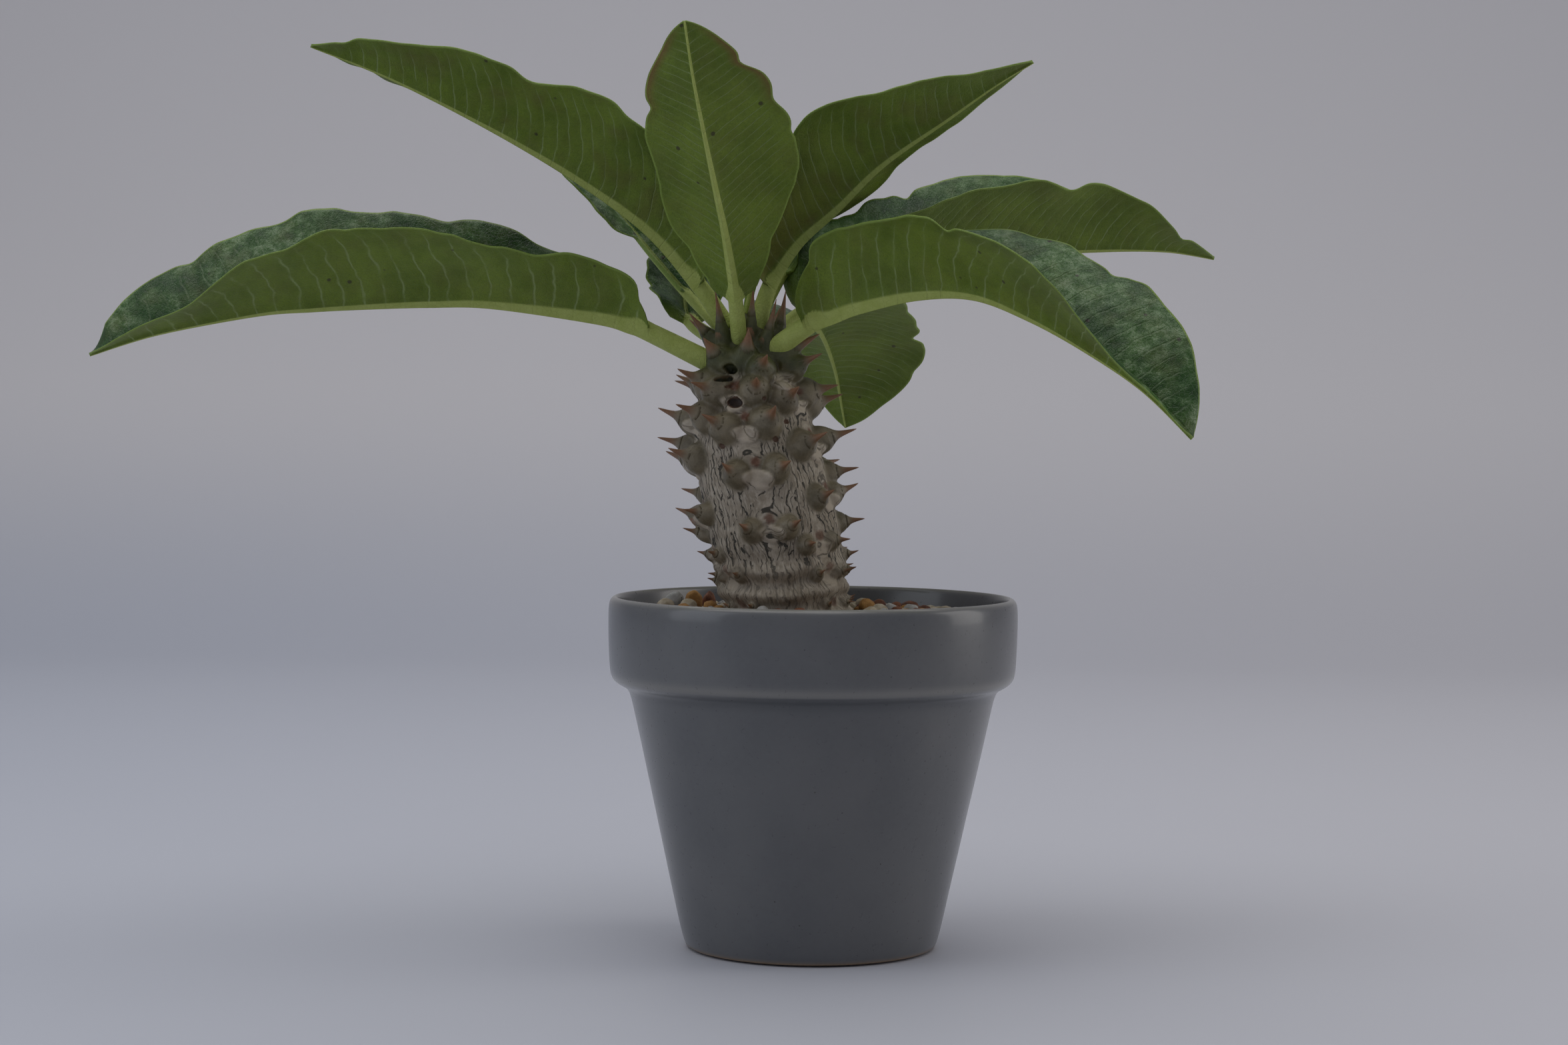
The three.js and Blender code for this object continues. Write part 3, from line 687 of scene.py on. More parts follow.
def build_leaf(name, seed):
    """A leaf as one closed skin: stalk, keeled midrib, and a folded blade with veins and a wavy margin."""
    leaf = LeafLine(name)
    hands = (1, -1)
    halves = [leaf_half(leaf, half, seed) for half in (0, 1)]
    skins = []
    for face in (1, -1):
        near, far = [half_face(leaf, hand, face, data) for hand, data in zip(hands, halves)]
        skins.append([np.concatenate([one[:, ::-1], other[:, 1:]], 1) for one, other in zip(near, far)])
    (top_points, top_fields), (low_points, low_fields) = skins
    ring = np.concatenate([top_points, low_points[:, ::-1]], 1)
    fields = np.concatenate([top_fields, low_fields[:, ::-1]], 1)
    count = ring.shape[1]
    faces = ring_faces(leaf.stations, count)
    for base in (0, (leaf.stations - 1) * count):
        for k in range(count // 2 - 1):
            quad = [base + k, base + k + 1, base + count - 2 - k, base + count - 1 - k]
            faces.append(quad[::-1] if base == 0 else quad)
    values = fields.reshape(-1, fields.shape[-1]).T
    warmth = WARM_SHARE if name in WARM_LEAVES else USUAL_WARM_SHARE
    # share of painted sheen, a whitish painted reflection, on the upper side
    painted_sheen = PAINTED_SHEEN.get(name, USUAL_PAINTED_SHEEN)
    material = leaf_material(name + "_skin", leaf.spacing, leaf.vein_lean, warmth, painted_sheen)
    attributes = dict(zip(LEAF_FIELDS, values))
    piece = make_piece(name + "_blade", ring.reshape(-1, 3), faces, material, [name], attributes)
    fix_normals(piece)
    return piece


def leaf_tinge(name, blade, hand, edge):
    """Reddish brown on the front leaf's outer edge and the right high leaf's foot."""
    if name == "leaf_front":
        return smoothstep(3.5, 0, edge) * smoothstep(0.62, 0.8, blade) * smoothstep(1.0, 0.9, blade) * 0.8
    if name == "leaf_right_high":
        return smoothstep(0.5, 0.05, blade) * 0.3 + 0 * edge
    return 0.0 * edge


def fix_normals(piece):
    """Turns a closed mesh's faces outwards."""
    shell = bmesh.new()
    shell.from_mesh(piece.data)
    bmesh.ops.recalc_face_normals(shell, faces=shell.faces)
    shell.to_mesh(piece.data)
    shell.free()


def stem_profile(height):
    """Sideways lean and radius of the stem at a height, smoothed between the rows."""
    rows = np.array(STEM_ROWS, float)
    fine = np.arange(rows[0, 0], rows[-1, 0] + 0.01, 0.25)
    kernel = np.hanning(25)
    kernel /= kernel.sum()
    smooth = []
    for column in (1, 2):
        values = np.interp(fine, rows[:, 0], rows[:, column])
        padded = np.pad(values, 12, mode="edge")
        smooth.append(np.interp(height, fine, np.convolve(padded, kernel, "valid")))
    return smooth


def spine_growth(height):
    """Length and bulb radius of a spine at a height."""
    rows = np.array(SPINE_GROWTH, float)
    return np.interp(height, rows[:, 0], rows[:, 1]), np.interp(height, rows[:, 0], rows[:, 2])


# between these heights the stem turns green
GREEN_HEIGHTS = (150, 158)
# Pits in the stem: turn in degrees, height, half width, half height, depth, darkness
STEM_PITS = [
    (-26, 155.2, 1.7, 1.4, 1.6, 1.0), (-30, 152.6, 1.5, 0.8, 1.3, 1.0), (-18, 146.4, 2.5, 1.6, 1.0, 0.8),
    (-78, 151, 1.5, 2.6, 1.6, 1.0), (-32, 134.8, 1.1, 0.8, 0.35, 0.5), (20, 136.8, 1.1, 0.8, 0.35, 0.5),
    (-41, 138.6, 0.8, 1.2, 0.35, 0.5), (35, 141.5, 1.1, 0.7, 0.35, 0.5), (150, 146, 2.4, 1.6, 0.9, 0.7),
    (-130, 133, 2.0, 1.4, 0.6, 0.7), (12, 147.5, 0.7, 0.6, 0.3, 0.5), (-24, 150.6, 0.7, 0.5, 0.3, 0.5),
]
# A leaf scar lies under each pair of spines
SCAR_DROP = 4.6
SCAR_HALF_WIDTH = 3.7
SCAR_HALF_HEIGHT = 2.7
# outline of a spine with its bulb: share of the length, share of the bulb's radius
BULB_OUTLINE = [
    (-0.45, 1.0), (-0.2, 1.04), (-0.05, 1.04), (0.06, 1.0), (0.16, 0.94), (0.25, 0.85), (0.33, 0.72),
    (0.4, 0.57), (0.46, 0.43), (0.52, 0.32), (0.58, 0.245), (0.66, 0.19), (0.75, 0.145), (0.84, 0.105),
    (0.93, 0.065), (1, 0.015),
]
CROWN_OUTLINE = [
    (-0.15, 1.15), (0, 1.1), (0.12, 1.0), (0.25, 0.84), (0.38, 0.64), (0.5, 0.46), (0.62, 0.32),
    (0.74, 0.22), (0.84, 0.145), (0.93, 0.08), (1, 0.02),
]
BULB_SIDE_STEP = 5.1
# the right bulb of a pair sits this much higher than the middle, and the left one lower
BULB_TILT = 0.6
# by height: how far a bulb's root lies under its node, and how far the tip lies over it
BULB_DROP = [(92, 0.4), (105, 1.2), (116, 2.2), (140, 2.3), (150, 1.2), (160, 0.4)]
TIP_RISE = [(92, 0.2), (110, -0.6), (130, -0.2), (140, 1.4), (150, 2.0), (160, 4.6)]
# mesh size of the grown-together skin, and how often it is smoothed
VOXEL = 0.45
SMOOTH_PASSES = 9
# share of a spine's length up to which it is part of the skin, and from which it has its own mesh
BULB_END = 0.6
TIP_START = 0.38
BULB_SIDES = 24
TIP_SIDES = 12
TRUNK_POINTS = 120
TRUNK_STEP = 0.8
TRUNK_TOP = (171.7, 172.0)
# rolls of the trunk near the soil
ROLL_HEIGHT = 6.7
ROLL_DEPTH = 1.1
# usual radius of the trunk, on which the cracks run
FLOW_RADIUS = 17.5


def spine_list():
    """Root, tip, bulb radius and outline of every spine on the stem and in its crown."""
    rng = np.random.RandomState(SEED)
    spines = []
    for node_turn, height in SPINE_NODES:
        lean, radius = stem_profile(height)
        length, bulb_radius = spine_growth(height)
        turn = math.radians(node_turn)
        outward = np.array([math.sin(turn), -math.cos(turn), 0])
        sideways = np.array([math.cos(turn), math.sin(turn), 0])
        step = BULB_SIDE_STEP * (0.7 + 0.3 * length / 10)
        drop = np.interp(height, *zip(*BULB_DROP))
        rise = np.interp(height, *zip(*TIP_RISE))
        for hand in (-1, 1):
            size = rng.uniform(0.9, 1.1)
            down = drop + (rng.uniform(-0.5, 0.5) - hand * BULB_TILT) * length / 10
            root = np.array([lean, 0, height - down])
            root = root + outward * (radius - SPINE_ROOT_DEPTH) + sideways * hand * step
            tip = (
                root + outward * (length + SPINE_ROOT_DEPTH) * math.cos(SPINE_SPREAD) * size
                + sideways * hand * length * math.sin(SPINE_SPREAD) * rng.uniform(0.7, 1.15)
                + np.array([0, 0, down + rise + (rng.uniform(-0.8, 0.8) + hand * BULB_TILT) * length / 10])
            )
            spines.append((root, tip, bulb_radius * rng.uniform(0.92, 1.08), BULB_OUTLINE))
    for root, tip, radius in CROWN_SPINES:
        spines.append((np.array(root, float), np.array(tip, float), radius, CROWN_OUTLINE))
    return spines


def spine_rings(spine, sides, low, high, rng):
    """Rings of one spine between two shares of its length, slightly crooked towards the tip."""
    root, tip, radius, outline = spine
    along = tip - root
    axis = along / np.linalg.norm(along)
    side = np.cross([0, 0, 1.0], axis)
    side /= np.linalg.norm(side)
    up = np.cross(axis, side)
    crook = rng.uniform(-0.7, 0.7)
    dip = rng.uniform(-0.3, 0.8)
    turns = np.arange(sides) / sides * TURN
    lumps = 1 + 0.05 * np.sin(turns * 2 + crook * 5) + 0.03 * np.sin(turns * 3 + dip * 9)
    rings = []
    for part, share in outline:
        if part < low or part > high:
            continue
        curve = max(part - 0.3, 0) ** 2 * 1.6
        centre = root + along * part + side * crook * curve + up * dip * curve
        around = side * (np.cos(turns) * lumps)[:, None] + up * (np.sin(turns) * lumps)[:, None]
        rings.append((centre + around * radius * share, part))
    return rings


def closed_loft(points, faces, rings):
    """Adds a closed skin over rings to a list of points and faces."""
    first = sum(len(block) for block in points)
    count = len(rings[0])
    points.extend(rings)
    faces.extend(ring_faces(len(rings), count, first))
    faces.append([first + k for k in range(count)][::-1])
    last = first + (len(rings) - 1) * count
    faces.append([last + k for k in range(count)])


def trunk_rings():
    """The trunk without its spines: it leans, bulges a little and has rolls near the soil."""
    count = TRUNK_POINTS
    turn = np.arange(count) / count * TURN
    rings = []
    for height in np.concatenate([np.arange(77, 171.2, TRUNK_STEP), TRUNK_TOP]):
        lean, radius = stem_profile(np.full(count, height))
        around = np.stack([np.sin(turn) * 17, -np.cos(turn) * 17, np.full(count, height)], 1)
        swell = 0.6 * noise(around, 11, SEED) + 0.25 * noise(around, 5, SEED + 1)
        slope = 1.5 * np.sin(turn + 2.4) + 0.9 * noise(around, 9, SEED + 2)
        roll = np.sin((height - 1.2 + slope) * TURN / ROLL_HEIGHT)
        swell += ROLL_DEPTH * roll * smoothstep(110, 100, height)
        reach = np.maximum(radius - 0.35 + swell * smoothstep(0, 4, radius), 0.1)
        ring = [lean + np.sin(turn) * reach, -np.cos(turn) * reach, np.full(count, height)]
        rings.append(np.stack(ring, 1))
    return rings


def smooth_mesh(points, edges, passes):
    """Moves each point towards the middle of its neighbours, and back a little, some times over."""
    first, second = edges.T
    total = np.bincount(edges.ravel(), minlength=len(points))[:, None]
    for number in range(passes):
        mean = np.zeros_like(points)
        for axis in range(3):
            mean[:, axis] = (
                np.bincount(first, points[second, axis], len(points))
                + np.bincount(second, points[first, axis], len(points))
            )
        points = points + (0.55 if number % 2 == 0 else -0.35) * (mean / total - points)
    return points


def build_stem():
    """The stem's skin: trunk and bulbs grown together, then scars, crusts, pits and roughness."""
    rng = np.random.RandomState(SEED + 1)
    spines = spine_list()
    points = []
    faces = []
    closed_loft(points, faces, trunk_rings())
    for spine in spines:
        closed_loft(points, faces, [ring for ring, _ in spine_rings(spine, BULB_SIDES, -1, BULB_END, rng)])
    raw = bpy.data.meshes.new("stem_raw")
    raw.from_pydata((np.concatenate(points) * MM).tolist(), [], faces)
    helper = bpy.data.objects.new("stem_raw", raw)
    bpy.context.scene.collection.objects.link(helper)
    remesh = helper.modifiers.new("grow_together", "REMESH")
    remesh.mode = "VOXEL"
    remesh.voxel_size = VOXEL * MM
    whole = bpy.data.meshes.new_from_object(helper.evaluated_get(bpy.context.evaluated_depsgraph_get()))
    bpy.data.objects.remove(helper)
    place = np.empty(len(whole.vertices) * 3)
    whole.vertices.foreach_get("co", place)
    place = place.reshape(-1, 3) / MM
    edges = np.empty(len(whole.edges) * 2, np.int32)
    whole.edges.foreach_get("vertices", edges)
    place = smooth_mesh(place, edges.reshape(-1, 2), SMOOTH_PASSES)
    skin_faces = [list(polygon.vertices) for polygon in whole.polygons]
    whole.vertices.foreach_set("co", (place * MM).ravel())
    whole.update()
    normals = np.empty(len(place) * 3)
    whole.vertices.foreach_get("normal", normals)
    normals = normals.reshape(-1, 3)
    bpy.data.meshes.remove(whole)
    swell, attributes = stem_marks(place, spines)
    place = place + normals * swell[:, None]
    make_piece("stem_bark", place, skin_faces, bark_material(), ["stem"], attributes)
    build_spine_tips(spines)


def stem_marks(place, spines):
    """Fine relief along the normal, and what covers each point, such as a bulb, a scar or a pit."""
    height = place[:, 2]
    lean, radius = stem_profile(height)
    turn = np.arctan2(place[:, 0] - lean, -place[:, 1])
    bulb = np.zeros(len(place))
    tip = np.zeros(len(place))
    for root, end, size, _ in spines:
        along = end - root
        length = np.linalg.norm(along)
        part = (place - root) @ along / length ** 2
        aside = np.linalg.norm((place - root) - part[:, None] * along, axis=1) / size
        near = smoothstep(1.3, 1.02, aside) * (part > -0.5) * (part < 1.1)
        bulb = np.maximum(bulb, near * np.clip(size / 3.2, 0.3, 1))
        tip = np.where(near > 0.05, np.maximum(tip, np.clip(part, 0, 1)), tip)
    swell = 0.05 * noise(place, 2.2, SEED + 3) + 0.03 * noise(place, 0.9, SEED + 4)
    scar_part = np.zeros(len(place))
    axil_part = np.zeros(len(place))
    push = np.zeros(len(place))
    crust = noise(place, 0.8, SEED + 7)
    for index, (node_turn, node_height) in enumerate(SPINE_NODES):
        length, bulb_radius = spine_growth(node_height)
        share = length / 10
        gap = (turn - math.radians(node_turn) + math.pi) % TURN - math.pi
        sideways = gap * radius
        upward = height - node_height
        size = 0.8 + 0.35 * hashed(index, 3, 5)
        scar_up = upward + SCAR_DROP * (0.4 + 0.6 * share)
        grown = 0.6 + 0.4 * share
        scar = np.hypot(
            sideways / (SCAR_HALF_WIDTH * size * grown), scar_up / (SCAR_HALF_HEIGHT * size * grown)
        )
        swell += (0.45 * smoothstep(1.05, 0.85, scar) - 0.3 * np.exp(-((scar - 1.15) / 0.12) ** 2)) * share
        scar_part = np.maximum(scar_part, smoothstep(1.08, 0.92, scar) * (0.4 + 0.6 * share))
        axil = np.hypot(sideways / 1.5, (upward - 0.3) / 1.4)
        swell += np.exp(-axil ** 2) * (0.55 * crust + 0.1)
        axil_part = np.maximum(axil_part, smoothstep(1.2, 0.6, axil + 0.35 * crust) * (0.5 + 0.5 * share))
        wide = (BULB_SIDE_STEP + bulb_radius) * 0.8
        apart = np.hypot(sideways / wide, (upward + 2) / (bulb_radius * 1.7))
        push += np.tanh(sideways / 2.5) * wide * 0.55 * np.exp(-apart ** 2)
    pit_part = np.zeros(len(place))
    for pit_turn, pit_height, half_width, half_height, depth, dark in STEM_PITS:
        gap = (turn - math.radians(pit_turn) + math.pi) % TURN - math.pi
        pit = np.hypot(gap * radius / half_width, (height - pit_height) / half_height)
        pit = pit + 0.2 * noise(place, 1.5, SEED + 8)
        swell += 0.4 * dark * np.exp(-((pit - 1.3) / 0.28) ** 2) - depth * smoothstep(1.05, 0.6, pit)
        pit_part = np.maximum(pit_part, smoothstep(1.08, 0.8, pit) * dark)
    bark_open = (1 - 0.94 * bulb) * smoothstep(160, 154, height)
    bark_open = bark_open * (0.45 + 0.55 * smoothstep(98, 107, height))
    bark_open = np.maximum(bark_open, 0.8 * scar_part * smoothstep(158, 152, height))
    bark_open *= (1 - pit_part) * (1 - axil_part)
    flow_turn = turn - push / FLOW_RADIUS
    attributes = {
        "open": bark_open, "bulb": bulb, "scar": scar_part, "axil": axil_part, "pit": pit_part, "tip": tip,
        "green": smoothstep(*GREEN_HEIGHTS, height),
        "flow_x": FLOW_RADIUS * np.sin(flow_turn), "flow_y": -FLOW_RADIUS * np.cos(flow_turn),
        "flow_z": height + 0.25 * np.abs(push),
    }
    return swell, attributes


def build_spine_tips(spines):
    """The thin ends of all spines, which stand in the bulbs of the stem's skin."""
    rng = np.random.RandomState(SEED + 1)
    points = []
    faces = []
    along = []
    for spine in spines:
        rings = spine_rings(spine, TIP_SIDES, TIP_START, 1, rng)
        closed_loft(points, faces, [ring for ring, _ in rings])
        along += [np.full(TIP_SIDES, part) for _, part in rings]
    place = np.concatenate(points)
    attributes = {
        "tip": np.concatenate(along), "bulb": np.ones(len(place)),
        "green": smoothstep(*GREEN_HEIGHTS, place[:, 2]) * 0.5,
    }
    make_piece("spine_tips", place, faces, bark_material(), [], attributes)


# Bark colours, and how much the cracks' pattern is stretched upwards
BARK_GREY = (0.27, 0.225, 0.165)
BARK_SILVER = (0.43, 0.375, 0.295)
BARK_PALE = (0.56, 0.5, 0.41)
BARK_DARK = (0.17, 0.148, 0.112)
CRACK_BLACK = (0.03, 0.029, 0.021)
BULB_DARK = (0.088, 0.072, 0.036)
BULB_LIGHT = (0.2, 0.165, 0.1)
BULB_DUST = (0.3, 0.262, 0.19)
SCAR_SHADE = (0.38, 0.32, 0.24)
SCAR_PALE = (0.56, 0.49, 0.39)
AXIL_RED = (0.13, 0.048, 0.024)
WOUND_EDGE = (0.11, 0.06, 0.035)
WOUND_BLACK = (0.012, 0.009, 0.007)
MOSS_DARK = (0.03, 0.042, 0.009)
MOSS_LIGHT = (0.075, 0.082, 0.022)
TIP_DARK = (0.17, 0.07, 0.03)
TIP_LIGHT = (0.34, 0.17, 0.085)
UPRIGHT_STRETCH = 0.3


def bark_material():
    """Silver bark with dark upright cracks, olive-brown bulbs, pale scars and red-brown spine tips."""
    if "bark_skin" in bpy.data.materials:
        return bpy.data.materials["bark_skin"]
    shader = Shader("bark_skin")
    bulb = shader.attribute("bulb")
    tip = shader.attribute("tip")
    green = shader.attribute("green")
    scar = shader.attribute("scar")
    flow = shader.add("ShaderNodeCombineXYZ")
    for socket, key in zip(flow.inputs, ("flow_x", "flow_y", "flow_z")):
        shader.put(socket, shader.attribute(key))
    flow = flow.outputs[0]
    backwards = shader.times(shader.attribute("flow_y"), -1)
    turn = shader.math("ARCTAN2", shader.attribute("flow_x"), backwards)
    turn = shader.math("DIVIDE", turn, TURN)
    tall = shader.add("ShaderNodeMapping")
    shader.put(tall.inputs["Vector"], flow)
    tall.inputs["Scale"].default_value = (1, 1, UPRIGHT_STRETCH)
    tall = tall.outputs[0]

    def cracks(lines, half_width, wander, wander_size):
        """Wandering upright cracks, so many round the stem, which come and go."""
        sway = shader.times(shader.noise(wander_size, 2, 0.5, flow), wander)
        kink = shader.times(shader.noise(1.5, 2, 0.6, flow), 0.7)
        place = shader.plus(shader.plus(shader.times(turn, lines), sway), kink)
        saw = shader.math("ABSOLUTE", shader.less(shader.math("FRACT", place), 0.5))
        spacing = TURN * FLOW_RADIUS / lines
        apart = shader.times(shader.less(0.5, saw), spacing)
        there = shader.step(0.4, 0.56, shader.noise(wander_size * 0.3, 2, 0.5, tall))
        width = shader.times(there, half_width)
        return shader.step(0.0, 0.22, shader.less(width, apart))

    main = cracks(40, 0.42, 2.8, 5.0)
    fine = shader.times(cracks(67, 0.27, 3.0, 4.4), 0.7)
    crack = shader.math("MAXIMUM", main, fine)
    crack = shader.times(crack, shader.attribute("open"))
    blotch = shader.noise(5, 4, 0.6)
    grain = shader.noise(0.7, 4, 0.7)
    streak = shader.noise(0.55, 3, 0.6, tall)
    bark = shader.mix(shader.step(0.3, 0.72, blotch), BARK_GREY, BARK_SILVER)
    bark = shader.cover(bark, BARK_PALE, shader.step(0.45, 0.75, streak), 0.6)
    bark = shader.cover(bark, BARK_DARK, shader.step(0.5, 0.3, streak), 0.4)
    bark = shader.cover(bark, CRACK_BLACK, crack, 0.92)
    skin = shader.mix(shader.step(0.3, 0.7, blotch), BULB_DARK, BULB_LIGHT)
    skin = shader.cover(skin, BULB_DUST, grain, 0.3)
    bark = shader.cover(bark, skin, bulb, 0.93)
    pale = shader.mix(grain, SCAR_SHADE, SCAR_PALE)
    scar_share = shader.times(scar, shader.less(0.9, crack))
    bark = shader.mix(scar_share, bark, pale)
    bark = shader.cover(bark, AXIL_RED, shader.attribute("axil"), 0.9)
    pit = shader.attribute("pit")
    wound = shader.mix(shader.step(0.55, 0.9, pit), WOUND_EDGE, WOUND_BLACK)
    bark = shader.mix(shader.step(0.1, 0.45, pit), bark, wound)
    moss = shader.mix(shader.step(0.3, 0.7, blotch), MOSS_DARK, MOSS_LIGHT)
    bark = shader.cover(bark, moss, green, 0.88)
    brown = shader.mix(grain, TIP_DARK, TIP_LIGHT)
    bark = shader.cover(bark, brown, shader.step(0.42, 0.75, tip), 0.85)
    rough = shader.less(0.82, shader.times(bulb, 0.42))
    height = shader.less(shader.times(grain, 0.3), crack)
    height = shader.plus(height, shader.times(streak, 0.3))
    return shader.finish(bark, rough, shader.bump(height, 0.45, 0.8), IOR=1.45)


# Pot outline as in the CAD part: radius, height
POT_OUTLINE = [
    (27.3, 0), (33.3, 0), (34.2, 1.6), (35.5, 6.8), (48.6, 66.5), (49.6, 69.6), (52.4, 71), (53.9, 72.3),
    (54.5, 74.6), (54.8, 80.3), (55, 86), (55, 92), (54.4, 93.7), (53.3, 94.4), (52.7, 94), (52.3, 93),
    (51.7, 88), (50, 80), (47, 70), (45.3, 66), (33, 10), (30.5, 7), (28, 6), (7, 6), (7, 2), (27.3, 2),
]
POT_SEGMENTS = 240
CORNER_PASSES = 2
LONGEST_STRETCH = 3.2
# heights of the lip, of the band's lower shoulder and of the groove under it
LIP_HEIGHT = 94.2
SHOULDER_HEIGHT = 72.6
GROOVE_HEIGHT = 69.6


def round_corners(outline, passes, longest):
    """Cuts a closed outline's corners, so that they are round, after splitting long stretches."""
    points = []
    for index, start in enumerate(outline):
        end = outline[(index + 1) % len(outline)]
        pieces = max(1, int(math.dist(start, end) / longest))
        points += [np.add(start, np.subtract(end, start) * k / pieces) for k in range(pieces)]
    points = np.array(points)
    for _ in range(passes):
        after = np.roll(points, -1, axis=0)
        points = np.stack([0.75 * points + 0.25 * after, 0.25 * points + 0.75 * after], 1).reshape(-1, 2)
    return points


def build_pot():
    """The pot as one turned skin, slightly uneven, with fields for thin, pooled and missing glaze."""
    outline = round_corners(POT_OUTLINE, CORNER_PASSES, LONGEST_STRETCH)
    turns = np.arange(POT_SEGMENTS) / POT_SEGMENTS * TURN
    radius = np.repeat(outline[:, 0], POT_SEGMENTS)
    height = np.repeat(outline[:, 1], POT_SEGMENTS)
    turn = np.tile(turns, len(outline))
    around = np.stack([np.cos(turn) * radius, np.sin(turn) * radius, height], 1)
    uneven = 0.09 * noise(around, 26, SEED + 40) + 0.035 * noise(around, 9, SEED + 41)
    uneven *= smoothstep(0.5, 6, height)
    points = np.stack([np.cos(turn) * (radius + uneven), np.sin(turn) * (radius + uneven), height], 1)
    rings = len(outline)
    ring = np.arange(rings)[:, None] * POT_SEGMENTS
    after = (np.arange(rings)[:, None] + 1) % rings * POT_SEGMENTS
    side = np.arange(POT_SEGMENTS)[None, :]
    step = (side + 1) % POT_SEGMENTS
    faces = np.stack([ring + side, ring + step, after + step, after + side], -1).reshape(-1, 4)
    lip = np.exp(-((height - LIP_HEIGHT) / 0.7) ** 2)
    shoulder = np.exp(-((height - SHOULDER_HEIGHT) / 1.3) ** 2) * (radius > 53)
    groove = np.exp(-((height - GROOVE_HEIGHT) / 1.6) ** 2) * (radius > 48) * (radius < 51.5)
    clay = smoothstep(1.15, 0.75, height) * (radius > 26)
    attributes = {"thin": np.clip(lip + 0.7 * shoulder, 0, 1), "pool": groove, "clay": clay}
    piece = make_piece("glazed_pot", points, faces.tolist(), glaze_material(), ["pot"], attributes)
    fix_normals(piece)
    return piece


# Glaze and clay colours
GLAZE_DARK = (0.1, 0.104, 0.109)
GLAZE_LIGHT = (0.124, 0.126, 0.128)
GLAZE_MOTTLE = (0.13, 0.137, 0.142)
GLAZE_THIN = (0.27, 0.262, 0.24)
GLAZE_POOL = (0.05, 0.056, 0.062)
PINHOLE = (0.03, 0.028, 0.025)
GLAZE_DOT = (0.45, 0.45, 0.43)
CLAY_DARK = (0.2, 0.135, 0.085)
CLAY_LIGHT = (0.33, 0.245, 0.165)


def glaze_material():
    """Grey glaze, thin and pale on the edges, darker where it pools, with the clay bare at the foot."""
    shader = Shader("grey_glaze")
    thin = shader.attribute("thin")
    pool = shader.attribute("pool")
    clay = shader.attribute("clay")
    cloud = shader.noise(28, 3, 0.5)
    mottle = shader.noise(1.6, 4, 0.65)
    fine = shader.noise(0.35, 2, 0.6)
    colour = shader.mix(shader.step(0.3, 0.7, cloud), GLAZE_DARK, GLAZE_LIGHT)
    colour = shader.cover(colour, GLAZE_MOTTLE, shader.step(0.35, 0.75, mottle), 0.3)
    colour = shader.cover(colour, GLAZE_THIN, thin, 0.8)
    colour = shader.cover(colour, GLAZE_POOL, pool, 0.5)
    hole = shader.step(0.05, 0.03, shader.spots(5.5))
    colour = shader.cover(colour, PINHOLE, hole, 0.7)
    dot = shader.step(0.022, 0.012, shader.spots(17))
    colour = shader.mix(dot, colour, GLAZE_DOT)
    body = shader.mix(shader.noise(0.7, 3), CLAY_DARK, CLAY_LIGHT)
    colour = shader.mix(clay, colour, body)
    rough = shader.plus(shader.times(mottle, 0.1), 0.24)
    rough = shader.plus(rough, shader.times(clay, 0.5))
    height = shader.less(shader.times(fine, 0.12), hole)
    height = shader.plus(height, shader.times(mottle, 0.25))
    normal = shader.bump(height, 0.06, 0.5)
    return shader.finish(colour, rough, normal, IOR=1.5, Coat_Weight=0.35, Coat_Roughness=0.12)


# Potting mix and top dressing, as in the CAD part
LIP_INSIDE = 52.3
MIX_EDGE_HEIGHT = 87.5
MIX_MOUND_HEIGHT = 89.5
MIX_MOUND_RADIUS = 22
MIX_EDGE_RADIUS = 51.2
MIX_RINGS = 60
MIX_SEGMENTS = 180
# side and bottom of the mix: radius, height
MIX_SIDE = [(50, 80), (46.6, 70), (44.9, 66.3), (32.6, 10.3), (27.7, 6.3), (0.5, 6.3)]
# place, half sizes, turn in degrees, kind
STONES = [
    (-38.2, 15, 2.9, 2.4, 3.2, 10, "pale_stone"), (-32.9, 19.5, 2.6, 2.3, 3.2, 40, "ochre_stone"),
    (-28.8, 24, 2.3, 2.1, 3.1, 75, "brown_stone"), (-40.2, 9, 2.7, 2.2, 2.4, 20, "cream_stone"),
    (-34, 10.6, 2.5, 2.1, 2.3, 160, "cream_stone"), (-40, 0.5, 2.4, 2, 1.7, 60, "brown_stone"),
    (-35.5, -9, 2.5, 2.2, 1.8, 15, "ochre_stone"), (-28, -22, 2.7, 2.3, 1.8, 95, "cream_stone"),
    (-16.5, -27.5, 2.6, 2.2, 1.9, 30, "pale_stone"), (-4, -29.5, 2.5, 2, 1.8, 160, "brown_stone"),
    (10, -28, 2.7, 2.3, 1.9, 50, "cream_stone"), (20, -22, 2.4, 2.1, 1.7, 110, "ochre_stone"),
    (14.6, 9, 2.4, 2.1, 2.1, 35, "ochre_stone"), (18.2, 14.5, 2.4, 2, 1.8, 80, "brown_stone"),
    (14, 24, 2.5, 2.2, 1.8, 140, "cream_stone"), (3, 30, 2.6, 2.2, 1.9, 25, "pale_stone"),
    (-9, 33, 2.4, 2.1, 1.8, 70, "ochre_stone"), (-20, 31, 2.6, 2.2, 1.9, 120, "cream_stone"),
    (27, 30, 2.5, 2.1, 1.8, 155, "brown_stone"), (-33, -31, 2.5, 2.2, 1.8, 5, "brown_stone"),
    (-10, -41, 2.6, 2.2, 1.8, 65, "cream_stone"), (8, -40, 2.4, 2, 1.8, 100, "ochre_stone"),
    (31, -29, 2.6, 2.3, 1.8, 145, "pale_stone"), (-1, 43, 2.5, 2.1, 1.8, 85, "brown_stone"),
]
